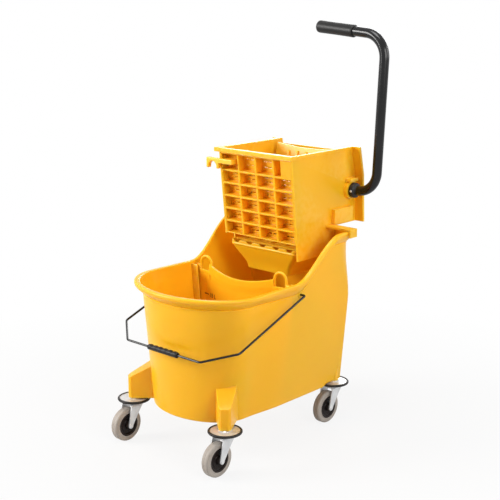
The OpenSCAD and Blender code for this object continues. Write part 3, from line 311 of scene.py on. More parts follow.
# Shared finish of every handled surface: slow tone drift, fine grain, fine scuffs, and convex edges mixed
# towards a paler colour that is partly rubbed wear and partly a painted highlight.
surface = bpy.data.node_groups.new("handled_surface", "ShaderNodeTree")
for name, kind, value in (
    ("Colour", "NodeSocketColor", (0.8, 0.8, 0.8, 1)), ("Shade", "NodeSocketColor", (0.7, 0.7, 0.7, 1)),
    ("Edge Wear Highlight Colour", "NodeSocketColor", (0.9, 0.9, 0.9, 1)), ("Tone Scale", "NodeSocketFloat", 7.0),
    ("Grain Scale", "NodeSocketFloat", 900.0), ("Scuff", "NodeSocketFloat", 0.4),
    ("Edge Wear Highlight Amount", "NodeSocketFloat", 0.4), ("Rough", "NodeSocketFloat", 0.4),
    ("Rough Drift", "NodeSocketFloat", 0.08),
):
    surface.interface.new_socket(name=name, in_out="INPUT", socket_type=kind).default_value = value
for name, kind in (
    ("Colour", "NodeSocketColor"), ("Roughness", "NodeSocketFloat"), ("Height", "NodeSocketFloat"),
):
    surface.interface.new_socket(name=name, in_out="OUTPUT", socket_type=kind)
given = add_node(surface, "NodeGroupInput").outputs
place = add_node(surface, "ShaderNodeTexCoord").outputs["Object"]


def cloud(where, scale, detail, distortion=0.0):
    """Noise over the surface."""
    values = {"Vector": where, "Scale": scale, "Detail": detail, "Distortion": distortion}
    return add_node(surface, "ShaderNodeTexNoise", values).outputs[0]


drift = spread(surface, cloud(place, given["Tone Scale"], 4.0), 0.3, 0.7)
grain = cloud(place, given["Grain Scale"], 2.0)
drawn = add_node(
    surface, "ShaderNodeMapping", {"Vector": place, "Rotation": (0.5, 0.35, 0.8), "Scale": (1, 11, 3)}
)
hair = cloud(drawn.outputs[0], 26.0, 3.0, 0.5)
hair_line = calc(surface, "ABSOLUTE", calc(surface, "SUBTRACT", hair, 0.5))
hair_line = spread(surface, hair_line, 0.0, 0.014, 1.0, 0.0)
patches = spread(surface, cloud(place, 16.0, 3.0), 0.5, 0.64)
scuff = calc(surface, "MULTIPLY", calc(surface, "MULTIPLY", hair_line, patches), given["Scuff"])
# Pointiness picks out convex edges, which are paled towards the edge colour: partly rubbed wear, partly a
# painted highlight.
ridge = spread(surface, add_node(surface, "ShaderNodeNewGeometry").outputs["Pointiness"], 0.515, 0.59)
nibbled = spread(surface, cloud(place, 90.0, 3.0), 0.32, 0.62)
edge_wear_highlight = calc(surface, "MULTIPLY", calc(surface, "MULTIPLY", ridge, nibbled), given["Edge Wear Highlight Amount"])
ground = mix_colour(surface, drift, given["Colour"], given["Shade"])
marks_and_edge_highlight = calc(surface, "MAXIMUM", edge_wear_highlight, calc(surface, "MULTIPLY", scuff, 0.55))
final = mix_colour(surface, marks_and_edge_highlight, ground, given["Edge Wear Highlight Colour"])
rough = calc(surface, "MULTIPLY", calc(surface, "SUBTRACT", drift, 0.5), given["Rough Drift"])
rough = calc(surface, "ADD", rough, given["Rough"])
rough = calc(surface, "ADD", rough, calc(surface, "MULTIPLY", scuff, 0.14))
height = calc(surface, "SUBTRACT", grain, calc(surface, "MULTIPLY", scuff, 0.7))
add_node(surface, "NodeGroupOutput", {"Colour": final, "Roughness": rough, "Height": height})


def from_hex(code):
    """Linear colour of a six-digit code."""
    parts = [int(code[k:k + 2], 16) / 255 for k in (0, 2, 4)]
    return (*[p / 12.92 if p <= 0.04045 else ((p + 0.055) / 1.055) ** 2.4 for p in parts], 1)


def make_finish(name, colour, shade, edge_wear_highlight_colour, wear, shader, relief):
    """A finish: colours and wear for the shared group, whose paler edge colour also paints a highlight along
    convex edges, plain shader values and the grain's height.
    """
    material = bpy.data.materials.new(name)
    material.use_nodes = True
    tree = material.node_tree
    tree.nodes.clear()
    colours = {"Colour": from_hex(colour), "Shade": from_hex(shade), "Edge Wear Highlight Colour": from_hex(edge_wear_highlight_colour)}
    worn = add_node(tree, "ShaderNodeGroup", {**colours, **wear}, node_tree=surface)
    bump = add_node(
        tree, "ShaderNodeBump", {"Strength": 0.35, "Distance": relief, "Height": worn.outputs["Height"]}
    )
    values = {"Base Color": worn.outputs["Colour"], "Roughness": worn.outputs["Roughness"]}
    values["Normal"] = bump.outputs[0]
    skin = add_node(tree, "ShaderNodeBsdfPrincipled", {**values, **shader})
    add_node(tree, "ShaderNodeOutputMaterial", {"Surface": skin.outputs[0]})
    material.diffuse_color = from_hex(colour)
    return material


# Each finish's third colour is its paler edge colour, used for rubbed wear and as a painted highlight along
# convex edges.
shell_plastic = make_finish(
    "moulded_yellow", "F9B91C", "F5B318", "FFD060",
    {"Tone Scale": 5.0, "Grain Scale": 1300.0, "Scuff": 0.2, "Edge Wear Highlight Amount": 0.3, "Rough": 0.33, "Rough Drift": 0.05},
    {"IOR": 1.49, "Specular IOR Level": 0.28, "Subsurface Weight": 0.5,
     "Subsurface Radius": (1, 0.8, 0.35), "Subsurface Scale": 0.012}, 0.00012,
)

bm = bmesh.new()
PANEL_IN, PANEL_RISE, PANEL_SLOPE = 37, 1, 3
ring = start_row(bm, foot_ring(PANEL_RISE, -PANEL_IN - 9))
bmesh.ops.edgeloop_fill(bm, edges=row_edges(bm, ring))
for rise, grow, skirt in (
    (PANEL_RISE, -PANEL_IN, 0), (0, PANEL_SLOPE - PANEL_IN, 0), (0, -SKIRT_T - 1.5, 0),
    (0, -SKIRT_T - 0.4, 0.18), (0, -SKIRT_T, 0.9), (0, -SKIRT_T + 0.6, 1),
):
    ring = grow_row(bm, ring, foot_ring(rise, grow, skirt))
for turn in quarter(ROUND_STEPS):
    ring = grow_row(
        bm, ring, foot_ring(FOOT_ROUND * (1 - math.cos(turn)), -FOOT_ROUND * (1 - math.sin(turn)), 1)
    )
LEDGE_H, LEDGE_OUT, GROOVE = 4, 0.9, 0.5
for k in range(WALL_STEPS + 1):
    ring = grow_row(bm, ring, wall_ring(k / WALL_STEPS, 0, FLOOR_Z + 2, LIP_H + LEDGE_H))
for above, grow in ((LEDGE_H - 1, LEDGE_OUT), (1.4, LEDGE_OUT), (0.8, 0), (0.2, -GROOVE)):
    ring = grow_row(bm, ring, crease_ring(LIP_H + above, grow))
for drop, share in ((LIP_H - 0.8, 0.04), (LIP_EDGE + 2.4, 0.9), (LIP_EDGE + 0.6, 0.97), (LIP_EDGE - 1, 1)):
    low, high = crease_ring(LIP_H, LEDGE_OUT), lip_ring(drop, LIP_OUT, -LIP_NOSE)
    flare = [Vector(a).lerp(b, share) for a, b in zip(low, map(Vector, high))]
    ring = grow_row(bm, ring, [(x, y, RIM[i] - drop) for i, (x, y, z) in enumerate(flare)])
for turn in quarter(ROUND_STEPS):
    drop, inwards = LIP_ROUND * (1 - math.sin(turn)), LIP_ROUND * (1 - math.cos(turn))
    ring = grow_row(bm, ring, lip_ring(drop, LIP_OUT - inwards, -LIP_NOSE))
for turn in reversed(quarter(ROUND_STEPS)):
    drop, inwards = LIP_ROUND * (1 - math.sin(turn)), LIP_ROUND * (1 - math.cos(turn))
    ring = grow_row(bm, ring, lip_ring(drop, inwards - WALL, 0))
for k in range(WALL_STEPS, -1, -1):
    ring = grow_row(bm, ring, wall_ring(k / WALL_STEPS, -WALL, FLOOR_Z + WALL + FLOOR_ROUND, LIP_H))
for turn in reversed(quarter(ROUND_STEPS)[:-1]):
    grow = -WALL - FLOOR_ROUND * (1 - math.sin(turn))
    ring = grow_row(bm, ring, foot_ring(WALL + FLOOR_ROUND * (1 - math.cos(turn)), grow))
bmesh.ops.edgeloop_fill(bm, edges=row_edges(bm, ring))
make_piece("bucket_shell", bm, shell_plastic, "bucket", ["bucket"])

# Front legs: two hollow wedges moulded on the nose, each ending in a post over its caster.
# They are the shell's own yellow plastic, with flat drafted sides and softly rounded edges.
POST_HALF, POST_H, ROOT_HALF, ROOT_H, ROOT_BACK = 13, 50, 31, 106, 20
TIP_OUT, TIP_FLAT, TIP_NARROW = 12, 5, 0.62
LEG_ROUND, CUTS_OUT, CUTS_UP = 3.2, range(-24, 52, 4), range(4, 96, 4)
ROOT_PLACE = (CASTER_FRONT[0] * 0.66, CASTER_FRONT[1] * 0.72)
SOCKET_R = 8


def soft_edges(bm, width, steep=30, segments=3, keep=None):
    """Rounds every edge steeper than an angle."""
    bmesh.ops.dissolve_limit(bm, angle_limit=math.radians(1), verts=bm.verts, edges=bm.edges)
    edges = [
        e for e in bm.edges
        if len(e.link_faces) == 2 and e.calc_face_angle() > math.radians(steep) and not (keep and keep(e))
    ]
    bmesh.ops.bevel(
        bm, geom=edges, offset=width, offset_type="OFFSET", segments=segments, profile=0.5,
        affect="EDGES", clamp_overlap=True, material=-1,
    )


def to_wall(place):
    """Moves a point that lies inside the bucket out to the middle of the wall's thickness."""
    half, nose = side_x(place.z) - NOSE_PINCH - WALL / 2, nose_l(place.z) - NOSE_PINCH - WALL / 2
    ahead = min(0, place.y - NOSE_Y)
    depth = math.hypot(place.x / half, ahead / nose)
    if depth >= 1:
        return place
    if ahead == 0:
        return Vector((math.copysign(half, place.x), place.y, place.z))
    return Vector((place.x / depth, NOSE_Y + ahead / depth, place.z))


bm = bmesh.new()
for side in (-1, 1):
    leg = bmesh.new()
    outwards = (Vector(CASTER_FRONT) - Vector(ROOT_PLACE)).normalized()
    across = Vector((-outwards.y, outwards.x))
    tip = Vector(CASTER_FRONT) + outwards * TIP_OUT
    for middle, half, reach, height in (
        (tip, POST_HALF * TIP_NARROW, 0, POST_H - 3), (tip - outwards * TIP_FLAT, POST_HALF, 0, POST_H),
        (Vector(CASTER_FRONT), POST_HALF + 1, 0, POST_H + 4),
        (Vector(ROOT_PLACE), ROOT_HALF, ROOT_BACK, ROOT_H),
    ):
        for s in (-1, 1):
            x, y = middle + across * half * s - outwards * reach
            for z in (FLOOR_Z, FLOOR_Z + height):
                leg.verts.new((side * x, y, z))
    hull = bmesh.ops.convex_hull(leg, input=leg.verts)
    bmesh.ops.delete(leg, geom=[v for v in hull["geom_interior"] if v.is_valid], context="VERTS")
    soft_edges(
        leg, LEG_ROUND, steep=12, segments=4, keep=lambda e: all(v.co.z < FLOOR_Z + 1 for v in e.verts)
    )
    start = Vector((side * ROOT_PLACE[0], ROOT_PLACE[1], FLOOR_Z))
    for direction, cuts in (((side * outwards.x, outwards.y, 0), CUTS_OUT), ((0, 0, 1), CUTS_UP)):
        for k in cuts:
            bmesh.ops.bisect_plane(
                leg, geom=leg.verts[:] + leg.edges[:] + leg.faces[:], dist=0.0001,
                plane_co=start + Vector(direction) * k, plane_no=direction,
            )
    for vert in leg.verts:
        vert.co = to_wall(vert.co)
    mesh = bpy.data.meshes.new("leg_half")
    leg.to_mesh(mesh)
    leg.free()
    bm.from_mesh(mesh)
    bpy.data.meshes.remove(mesh)
make_piece("front_legs", bm, shell_plastic, "bucket")

# Guide ribs, back bosses and bail sleeves: details moulded inside and outside the shell's walls.
# Two pairs of ribs hold the divider's edges, and a ring of plastic backs each bail hole.
GUIDE_DEPTH, GUIDE_T, GUIDE_YS = 18, 4, (-5, 9)
GUIDE_FOOT_Z, GUIDE_TOP_Z, GUIDE_ROUND, SUNK = 100, 366, 1.2, 2
BAIL_PIVOT = Vector((0, 17, 345))
BAIL_R = 2.5


def add_block(bm, low, high, width=0.0, segments=2):
    """A block between two corners, with rounded edges where a width is given."""
    low, high = Vector(low), Vector(high)
    place = Matrix.Translation((low + high) / 2) @ Matrix.Diagonal((*(high - low), 1))
    made = bmesh.ops.create_cube(bm, size=1, matrix=place)["verts"]
    if width:
        edges = list({e for v in made for e in v.link_edges})
        made = bmesh.ops.bevel(
            bm, geom=edges, offset=width, offset_type="OFFSET", segments=segments, profile=0.5,
            affect="EDGES", clamp_overlap=True, material=-1,
        )["verts"]
    return made


def turn_round(bm, profile, origin, axis, steps=48, closed=False):
    """Turns a row of (radius, distance along the axis) points into a round piece."""
    origin, axis = Vector(origin), Vector(axis).normalized()
    out = axis.orthogonal().normalized()
    row = start_row(bm, [origin + out * r + axis * d for r, d in profile], closed)
    bmesh.ops.spin(
        bm, geom=row + row_edges(bm, row), cent=origin, axis=axis, angle=2 * math.pi, steps=steps,
        use_merge=True,
    )


bm = bmesh.new()
for side in (-1, 1):
    for y in GUIDE_YS:
        low, high = (0, y - GUIDE_T / 2, GUIDE_FOOT_Z), (GUIDE_DEPTH + SUNK, y + GUIDE_T / 2, GUIDE_TOP_Z)
        for vert in add_block(bm, low, high, GUIDE_ROUND):
            vert.co.x = side * (side_x(vert.co.z) - SUNK - vert.co.x)
    turn_round(
        bm, [(SOCKET_R, 0), (12.5, 0), (12.5, 41), (11.6, 43.1), (9.5, 44), (0, 44)],
        (side * CASTER_BACK[0], CASTER_BACK[1], FLOOR_Z + 0.02), (0, 0, 1),
    )
    wall_x = side_x(BAIL_PIVOT.z)
    turn_round(
        bm, [(2.6, -1), (2.6, 1.3), (3.0, 1.5), (7.2, 1.5), (7.8, 1.2), (8, 0.6), (8, -1)],
        (side * wall_x, BAIL_PIVOT.y, BAIL_PIVOT.z), (side, 0, 0), 40,
    )
make_piece("shell_details", bm, shell_plastic, "bucket")

# Caster tops: a zinc-plated dished plate with a black rubber bumper snapped round its edge.
# The stem, socket and race are plain turned steel and keep their shape.
CASTERS = {
    "front_left": (-CASTER_FRONT[0], CASTER_FRONT[1]), "front_right": CASTER_FRONT,
    "back_left": (-CASTER_BACK[0], CASTER_BACK[1]), "back_right": CASTER_BACK,
}
zinc_steel = make_finish(
    "zinc_plate", "D9DADB", "C6C8CB", "F2F2F2",
    {"Tone Scale": 55.0, "Grain Scale": 700.0, "Scuff": 0.4, "Edge Wear Highlight Amount": 0.5, "Rough": 0.36, "Rough Drift": 0.12},
    {"Metallic": 0.5}, 0.00006,
)
bumper_rubber = make_finish(
    "bumper_black", "1C1A19", "262322", "4A4644",
    {"Tone Scale": 30.0, "Grain Scale": 1600.0, "Scuff": 0.3, "Edge Wear Highlight Amount": 0.4, "Rough": 0.5, "Rough Drift": 0.12},
    {"IOR": 1.5, "Specular IOR Level": 0.2}, 0.00015,
)
plates, rings = bmesh.new(), bmesh.new()
for x, y in CASTERS.values():
    turn_round(
        plates,
        [(5.7, 98), (11.5, 98), (12.2, 97.4), (14.5, 95.4), (17, 94.6), (24, 94.2), (31, 94.5), (33, 94.3),
         (33, 91.7), (31, 91.5), (5.7, 91.5)],
        (x, y, 0), (0, 0, 1), 64, True,
    )
    turn_round(
        rings,
        [(33.1, 90.6), (34.4, 90.1), (36, 90.6), (36.9, 92), (37, 93), (36.9, 94), (36, 95.4), (34.4, 95.9),
         (32.6, 95.6), (32.2, 94.9), (33.1, 94.5)],
        (x, y, 0), (0, 0, 1), 64, True,
    )
make_piece("swivel_dishes", plates, zinc_steel, "bucket", ["swivel_plates"], 30)
make_piece("bumper_rims", rings, bumper_rubber, "bucket", ["bumper_rings"], 60)


def round_edges(part, width, segments=2, steep=50):
    """Rounds a part's steep edges, by a width in millimetres."""
    edge = part.modifiers.new("soft_edges", "BEVEL")
    edge.width = width * MM
    edge.segments = segments
    edge.limit_method = "ANGLE"
    edge.angle_limit = math.radians(steep)
    return edge


def thicken(piece, name, thickness):
    """Gives a skin its wall, half on each side."""
    wall = piece.modifiers.new(name, "SOLIDIFY")
    wall.thickness = thickness * MM
    wall.offset = 0


def dress(name, material, width=0.0, segments=2):
    """Gives a part that keeps its shape its finish, and rounds its edges."""
    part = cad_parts[name]
    part.material_slots[0].material = material
    if width:
        weld = part.modifiers.new("joined", "WELD")
        weld.merge_threshold = 0.00002
        flat = part.modifiers.new("flat_faces", "DECIMATE")
        flat.decimate_type = "DISSOLVE"
        flat.angle_limit = math.radians(1.5)
        round_edges(part, width, segments, 35).harden_normals = True


for name, width in (("caster_sockets", 0.5), ("caster_stems", 0.6), ("swivel_races", 0.8)):
    dress(name, zinc_steel, width)

# Forks: each pressed from one steel strap, bent down on both sides of the wheel and zinc plated.
# The legs taper to a round eye, and a peened axle pin goes through both.
FORK_TOP_Z, AXLE_Z, TRAIL = 86.2, 38, 26
LEG_IN, LEG_T, EYE_R = 14.5, 3, 6.6
FORK_FRONT, FORK_BACK, FORK_BEND = -22.3, 12.2, 5
FLAT_SHARE, LEG_SHARE, FORK_CURVE = 0.24, 0.36, 0.85
FORK_ROWS, FORK_COLUMNS = 56, 12
for corner, (cx, cy) in CASTERS.items():
    bm = bmesh.new()
    mid_x = LEG_IN + LEG_T / 2
    mid_z = FORK_TOP_Z - LEG_T / 2
    for j in range(FORK_COLUMNS + 1):
        t = 2 * j / FORK_COLUMNS - 1
        line = []
        for i in range(FORK_ROWS + 1):
            s = 2 * i / FORK_ROWS - 1
            side = 1 if s > 0 else -1
            along = abs(s)
            if along < FLAT_SHARE:
                x, z = side * along / FLAT_SHARE * (mid_x - FORK_BEND), mid_z
            elif along < LEG_SHARE:
                turn = (along - FLAT_SHARE) / (LEG_SHARE - FLAT_SHARE) * math.pi / 2
                x = side * (mid_x - FORK_BEND + FORK_BEND * math.sin(turn))
                z = mid_z - FORK_BEND + FORK_BEND * math.cos(turn)
            else:
                x = side * mid_x
                eye_z = AXLE_Z - EYE_R * math.sqrt(max(0, 1 - t * t))
                z = between(mid_z - FORK_BEND, eye_z, (along - LEG_SHARE) / (1 - LEG_SHARE))
            drop = min(1, max(0, (mid_z - LEG_T - z) / (mid_z - LEG_T - AXLE_Z)))
            taper = drop ** FORK_CURVE
            middle = between((FORK_FRONT + FORK_BACK) / 2, -TRAIL, taper)
            half = between((FORK_BACK - FORK_FRONT) / 2, EYE_R, taper)
            line.append((cx + x, cy + middle + t * half, z))
        path = start_row(bm, line, False) if j == 0 else grow_row(bm, path, line)
    fork = make_piece(
        f"stamped_fork_{corner}", bm, zinc_steel, f"caster_{corner}", [f"fork_{corner}"], 50
    )
    thicken(fork, "strap", LEG_T)
    round_edges(fork, 0.7)

# Wheels: a black polypropylene core with stepped rings, and a grey non-marking rubber tyre moulded on it.
# The axle is a steel pin, peened over outside the fork.
hub_plastic = make_finish(
    "wheel_core_black", "17110F", "201816", "40342F",
    {"Tone Scale": 40.0, "Grain Scale": 1200.0, "Scuff": 0.3, "Edge Wear Highlight Amount": 0.5, "Rough": 0.36, "Rough Drift": 0.1},
    {"IOR": 1.5, "Specular IOR Level": 0.15}, 0.00012,
)
tyre_rubber = make_finish(
    "tyre_grey", "A9A199", "988E85", "C9C4BD",
    {"Tone Scale": 28.0, "Grain Scale": 1500.0, "Scuff": 0.5, "Edge Wear Highlight Amount": 0.45,
     "Rough": 0.55, "Rough Drift": 0.12},
    {"IOR": 1.5}, 0.0002,
)
# Each profile is half a section: radius and distance from the wheel's middle plane
CORE_HALF = [
    (4.1, 14.2), (7.6, 14.2), (8.6, 13.8), (9.2, 12.6), (9.8, 6.4), (11.2, 5.2), (14.4, 4.8), (15.0, 5.6),
    (16.4, 5.6), (17.0, 4.8), (20.0, 4.9), (21.2, 5.8), (21.8, 8.0), (22.6, 8.8), (24.6, 9.0), (26.4, 9.0),
]
TYRE_HALF = [
    (26.5, 9.0), (27.4, 9.0), (28.0, 8.5), (33.2, 8.9), (35.2, 8.7), (36.6, 8.0), (37.5, 6.8), (37.9, 5.2),
    (38.0, 1.0), (37.7, 0.4),
]
AXLE_HALF = [(4, 17.3), (4.4, 17.6), (4.5, 18.1), (4.1, 18.8), (3.2, 19.2), (1.6, 19.0), (0, 18.9)]
for corner, (cx, cy) in CASTERS.items():
    centre, axis = (cx, cy - TRAIL, AXLE_Z), (1, 0, 0)
    for name, half, material, body, slot, node, steps in (
        ("wheel_core", CORE_HALF, hub_plastic, "wheel", "hub_plastic", "hub", 72),
        ("wheel_tyre", TYRE_HALF, tyre_rubber, "wheel", "tyre_rubber", "tyre", 96),
        ("axle_pin", AXLE_HALF, zinc_steel, "caster", "zinc_steel", "axle", 32),
    ):
        bm = bmesh.new()
        profile = half + [(r, -d) for r, d in reversed(half)]
        turn_round(bm, profile, centre, axis, steps, name != "axle_pin")
        make_piece(f"{name}_{corner}", bm, material, f"{body}_{corner}", [f"{node}_{corner}"], 32)

# Bail: one steel wire, bent cold and painted gloss black, whose ends turn in through the shell's walls.
# A spring washer holds each end inside the bucket.
BAIL_DROP = math.radians(20.2)
ARM_X, KNEE_X, KNEE_REACH, BAR_HALF, BAR_REACH = 169, 172, 226, 110, 282
BAIL_BENDS, BAIL_END_IN = (4, 12, 12), 10.5
black_paint = make_finish(
    "gloss_black_paint", "0C0C0D", "121213", "3A3634",
    {"Tone Scale": 35.0, "Grain Scale": 420.0, "Scuff": 0.3, "Edge Wear Highlight Amount": 0.25,
     "Rough": 0.18, "Rough Drift": 0.05},
    {"IOR": 1.52, "Specular IOR Level": 0.3}, 0.00006,
)


def bend_rod(bm, corners, bends, radius, sides=20, bend_steps=10):
    """Draws a round rod along corner points: straight runs are extruded and each bend is spun."""
    corners = [Vector(c) for c in corners]
    heading = (corners[1] - corners[0]).normalized()
    turned = heading.to_track_quat("Z", "X").to_matrix().to_4x4()
    first = bmesh.ops.create_circle(
        bm, segments=sides, radius=radius, matrix=Matrix.Translation(corners[0]) @ turned, cap_ends=False
    )["verts"]
    loop = list({e for v in first for e in v.link_edges})
    bmesh.ops.edgeloop_fill(bm, edges=loop)
    at = corners[0]
    for k in range(1, len(corners)):
        reach, after = corners[k], None
        if k < len(corners) - 1:
            after = (corners[k + 1] - corners[k]).normalized()
            angle = heading.angle(after)
            reach = corners[k] - heading * bends[k - 1] * math.tan(angle / 2)
        made = bmesh.ops.extrude_edge_only(bm, edges=loop)["geom"]
        fresh = [v for v in made if isinstance(v, bmesh.types.BMVert)]
        bmesh.ops.translate(bm, vec=reach - at, verts=fresh)
        loop = [e for e in made if isinstance(e, bmesh.types.BMEdge) and all(v in made for v in e.verts)]
        at = reach
        if after is not None:
            axis = heading.cross(after).normalized()
            centre = at + axis.cross(heading) * bends[k - 1]
            last = bmesh.ops.spin(
                bm, geom=loop + list({v for e in loop for v in e.verts}), cent=centre, axis=axis,
                angle=angle, steps=bend_steps,
            )["geom_last"]
            loop = [e for e in last if isinstance(e, bmesh.types.BMEdge)]
            at = corners[k] + after * bends[k - 1] * math.tan(angle / 2)
            heading = after
    bmesh.ops.edgeloop_fill(bm, edges=loop)


arm = [
    (side_x(BAIL_PIVOT.z) - BAIL_END_IN, 0, 0), (ARM_X, 0, 0),
    (KNEE_X, -KNEE_REACH, 0), (BAR_HALF, -BAR_REACH, 0),
]
hang = Matrix.Translation(BAIL_PIVOT) @ Matrix.Rotation(BAIL_DROP, 4, "X")
bm = bmesh.new()
bend_rod(
    bm, [hang @ Vector(p) for p in arm + [(-x, y, z) for x, y, z in reversed(arm)]],
    BAIL_BENDS + tuple(reversed(BAIL_BENDS)), BAIL_R,
)
make_piece("bail_rod", bm, black_paint, "bail", ["bail_wire"], 60)
dress("bail_retainers", zinc_steel, 0.3)

# Bail grip: a black moulded sleeve on the front bar, waved on top for the fingers.
# It is soft vinyl and turns freely on the wire.
GRIP_L, GRIP_R, GRIP_X, WAVE, WAVES, GRIP_STEPS = 88, 6, 2, 1.25, 6, 72
grip_rubber = make_finish(
    "grip_black", "141414", "1B1A1A", "343232",
    {"Tone Scale": 30.0, "Grain Scale": 1700.0, "Scuff": 0.3, "Edge Wear Highlight Amount": 0.35,
     "Rough": 0.42, "Rough Drift": 0.08},
    {"IOR": 1.5, "Specular IOR Level": 0.26}, 0.0002,
)
bm = bmesh.new()
profile = [(2.7, 0.6), (3.4, 0), (5.0, 0), (5.8, 0.6)]
for k in range(GRIP_STEPS + 1):
    d = between(1.6, GRIP_L - 1.6, k / GRIP_STEPS)
    wave = (1 - math.cos(2 * math.pi * WAVES * d / GRIP_L)) / 2
    profile.append((GRIP_R + WAVE * wave ** 0.7, d))
profile += [(5.8, GRIP_L - 0.6), (5.0, GRIP_L), (3.4, GRIP_L), (2.7, GRIP_L - 0.6)]
bar = hang @ Vector((GRIP_X - GRIP_L / 2, -BAR_REACH, 0))
turn_round(bm, profile, bar, (1, 0, 0), 40)
crown = (hang.to_3x3() @ Vector((0, 0.1, 1))).normalized()
for vert in bm.verts:
    out = vert.co - bar
    out.x = 0
    r = out.length
    if r > GRIP_R:
        share = eased(out.normalized().dot(crown) * 1.3)
        vert.co -= out.normalized() * (r - GRIP_R) * (1 - share)
make_piece("bail_sleeve", bm, grip_rubber, "bail_grip", ["bail_grip"], 60)

# Divider: a lift-out partition of the shell's plastic, bowed towards the nose, with a stepped band along
# its scooped top edge and a finger loop at each end. It slides down between the guide ribs.
DIV_Y, DIV_T, DIV_BOW, DIV_ARC, DIV_FOOT_Z, DIV_MID_Z = 2, 5, 18, 109, 110, 358
LOOP_X, LOOP_Z, LOOP_R, LOOP_HOLE, LOOP_FOOT_Z = 112, 372, 20, 13.5, 357
DIV_R = (DIV_ARC ** 2 + DIV_BOW ** 2) / (2 * DIV_BOW)
BAND_H, BAND_OUT, BAND_EASE, BAND_SHARE = 24, 1.6, 5, 0.86
LOOP_MID, LOOP_SUNK, LOOP_FLAT = (LOOP_R + LOOP_HOLE) / 2, 8, 0.84
DIV_GAP, EAR_DROP, EAR_W = 0.4, 5, 24


def divider_edge(z):
    return side_x(z) - WALL - DIV_GAP


def divider_y(x):
    """Middle of the divider's thickness across the bucket."""
    if abs(x) >= DIV_ARC:
        return DIV_Y
    return DIV_Y - DIV_BOW + DIV_R - math.sqrt(DIV_R ** 2 - x * x)


def divider_top(x):
    x = abs(x)
    if x < LOOP_X - LOOP_MID:
        return between(DIV_MID_Z, LOOP_Z, (x / (LOOP_X - LOOP_R)) ** 2)
    if x < LOOP_X + LOOP_MID:
        return LOOP_FOOT_Z
    return between(LOOP_Z - EAR_DROP, LOOP_Z - LOOP_HOLE, (x - LOOP_X - LOOP_MID) / EAR_W)


DIV_COLUMNS, DIV_ROWS = 180, 40
bm = bmesh.new()
row = None
for j in range(DIV_ROWS + 1):
    line = []
    for i in range(DIV_COLUMNS + 1):
        u = 2 * i / DIV_COLUMNS - 1
        top = divider_top(u * divider_edge(LOOP_FOOT_Z))
        z = between(DIV_FOOT_Z, top, j / DIV_ROWS)
        x = u * divider_edge(z)
        band = eased((BAND_H - (top - z)) / BAND_EASE) if abs(u) < BAND_SHARE else 0
        line.append((x, divider_y(x) - BAND_OUT * band, z))
    row = start_row(bm, line, False) if j == 0 else grow_row(bm, row, line)
divider = make_piece("divider_panel", bm, shell_plastic, "divider", ["divider"], 40)
thicken(divider, "wall", DIV_T)
round_edges(divider, 1.6, 3)
bm = bmesh.new()
foot, top, bend = LOOP_FOOT_Z - LOOP_SUNK, LOOP_Z + LOOP_MID, LOOP_MID - 0.01
for side in (-1, 1):
    corners = [(-LOOP_MID, foot), (-LOOP_MID, top), (LOOP_MID, top), (LOOP_MID, foot)]
    places = [(side * LOOP_X + x, DIV_Y, z) for x, z in corners]
    bend_rod(bm, places, (bend, bend), (LOOP_R - LOOP_HOLE) / 2, 24, 14)
for vert in bm.verts:
    vert.co.y = DIV_Y + (vert.co.y - DIV_Y) * LOOP_FLAT
make_piece("finger_loops", bm, shell_plastic, "divider", (), 60)

# Fill mark: a dash and a number of litres low on the divider's front face.
# It is printed in flat black ink, a hair's breadth proud of the plastic.
fill_ink = make_finish(
    "printed_ink", "1A1512", "241D18", "5A4A38",
    {"Tone Scale": 120.0, "Grain Scale": 900.0, "Scuff": 0.6, "Edge Wear Highlight Amount": 0.2, "Rough": 0.6, "Rough Drift": 0.1},
    {"IOR": 1.45, "Specular IOR Level": 0.2}, 0.00004,
)
MARK_Z, INK, NUMBER_H, NUMBER_X, NUMBER_DROP = 301, 0.25, 15, -97, 5
DASH_X, DASH_HALF_L, DASH_HALF_H = -108, 8, 1.1
words = bpy.data.curves.new("fill_number", "FONT")
words.body = "18 L"
words.size = NUMBER_H
sign = bpy.data.objects.new("fill_number", words)
scene.collection.objects.link(sign)
letters = bpy.data.meshes.new_from_object(sign.evaluated_get(bpy.context.evaluated_depsgraph_get()))
bpy.data.objects.remove(sign)
bm = bmesh.new()
bm.from_mesh(letters)
bpy.data.meshes.remove(letters)
bmesh.ops.translate(bm, vec=(NUMBER_X, -NUMBER_DROP, 0), verts=bm.verts)
dash = Matrix.Translation((DASH_X, 0, 0)) @ Matrix.Diagonal((DASH_HALF_L, DASH_HALF_H, 1, 1))
bmesh.ops.create_grid(bm, x_segments=8, y_segments=1, size=1, matrix=dash)
for vert in bm.verts:
    x, z = vert.co.x, MARK_Z + vert.co.y
    vert.co = (x, divider_y(x) - DIV_T / 2 - INK, z)
make_piece("fill_mark", bm, fill_ink, "divider")

# Wringer frame: one moulding of the same yellow plastic, open at the top and front.
# It hangs on the bucket's rim by its blocks and hooks, and carries every other wringer part.
dress("wringer_frame", shell_plastic, 1.6, 3)

# Strainer: the slotted front of the wringer, of the same yellow plastic.
# Its plate and its grid of deep ribs are one moulding, set between the frame's side walls.
dress("strainer", shell_plastic, 0.9, 2)

# Drain chute: a thin moulded funnel clipped under the strainer, scalloped along its top edge.
# Its sides sweep in towards the foot, so the water falls clear of the divider.
CHUTE_TOP_Z, CHUTE_SIDE_Z, CHUTE_FOOT_Z, CHUTE_T, CHUTE_ROUND = 422, 415.7, 356, 3, 10
CHUTE_FRONT_Y, CHUTE_SIDE_Y, CHUTE_BACK_Y, CHUTE_SET_BACK = 67.6, 86, 190, 19
CHUTE_TOP_HALF, CHUTE_FOOT_HALF, CHUTE_ROWS = 99, 64, 16
NOTCHES, NOTCH_R, NOTCH_DROP = 5, 11, 5


def chute_share(z):
    return (CHUTE_TOP_Z - z) / (CHUTE_TOP_Z - CHUTE_FOOT_Z)


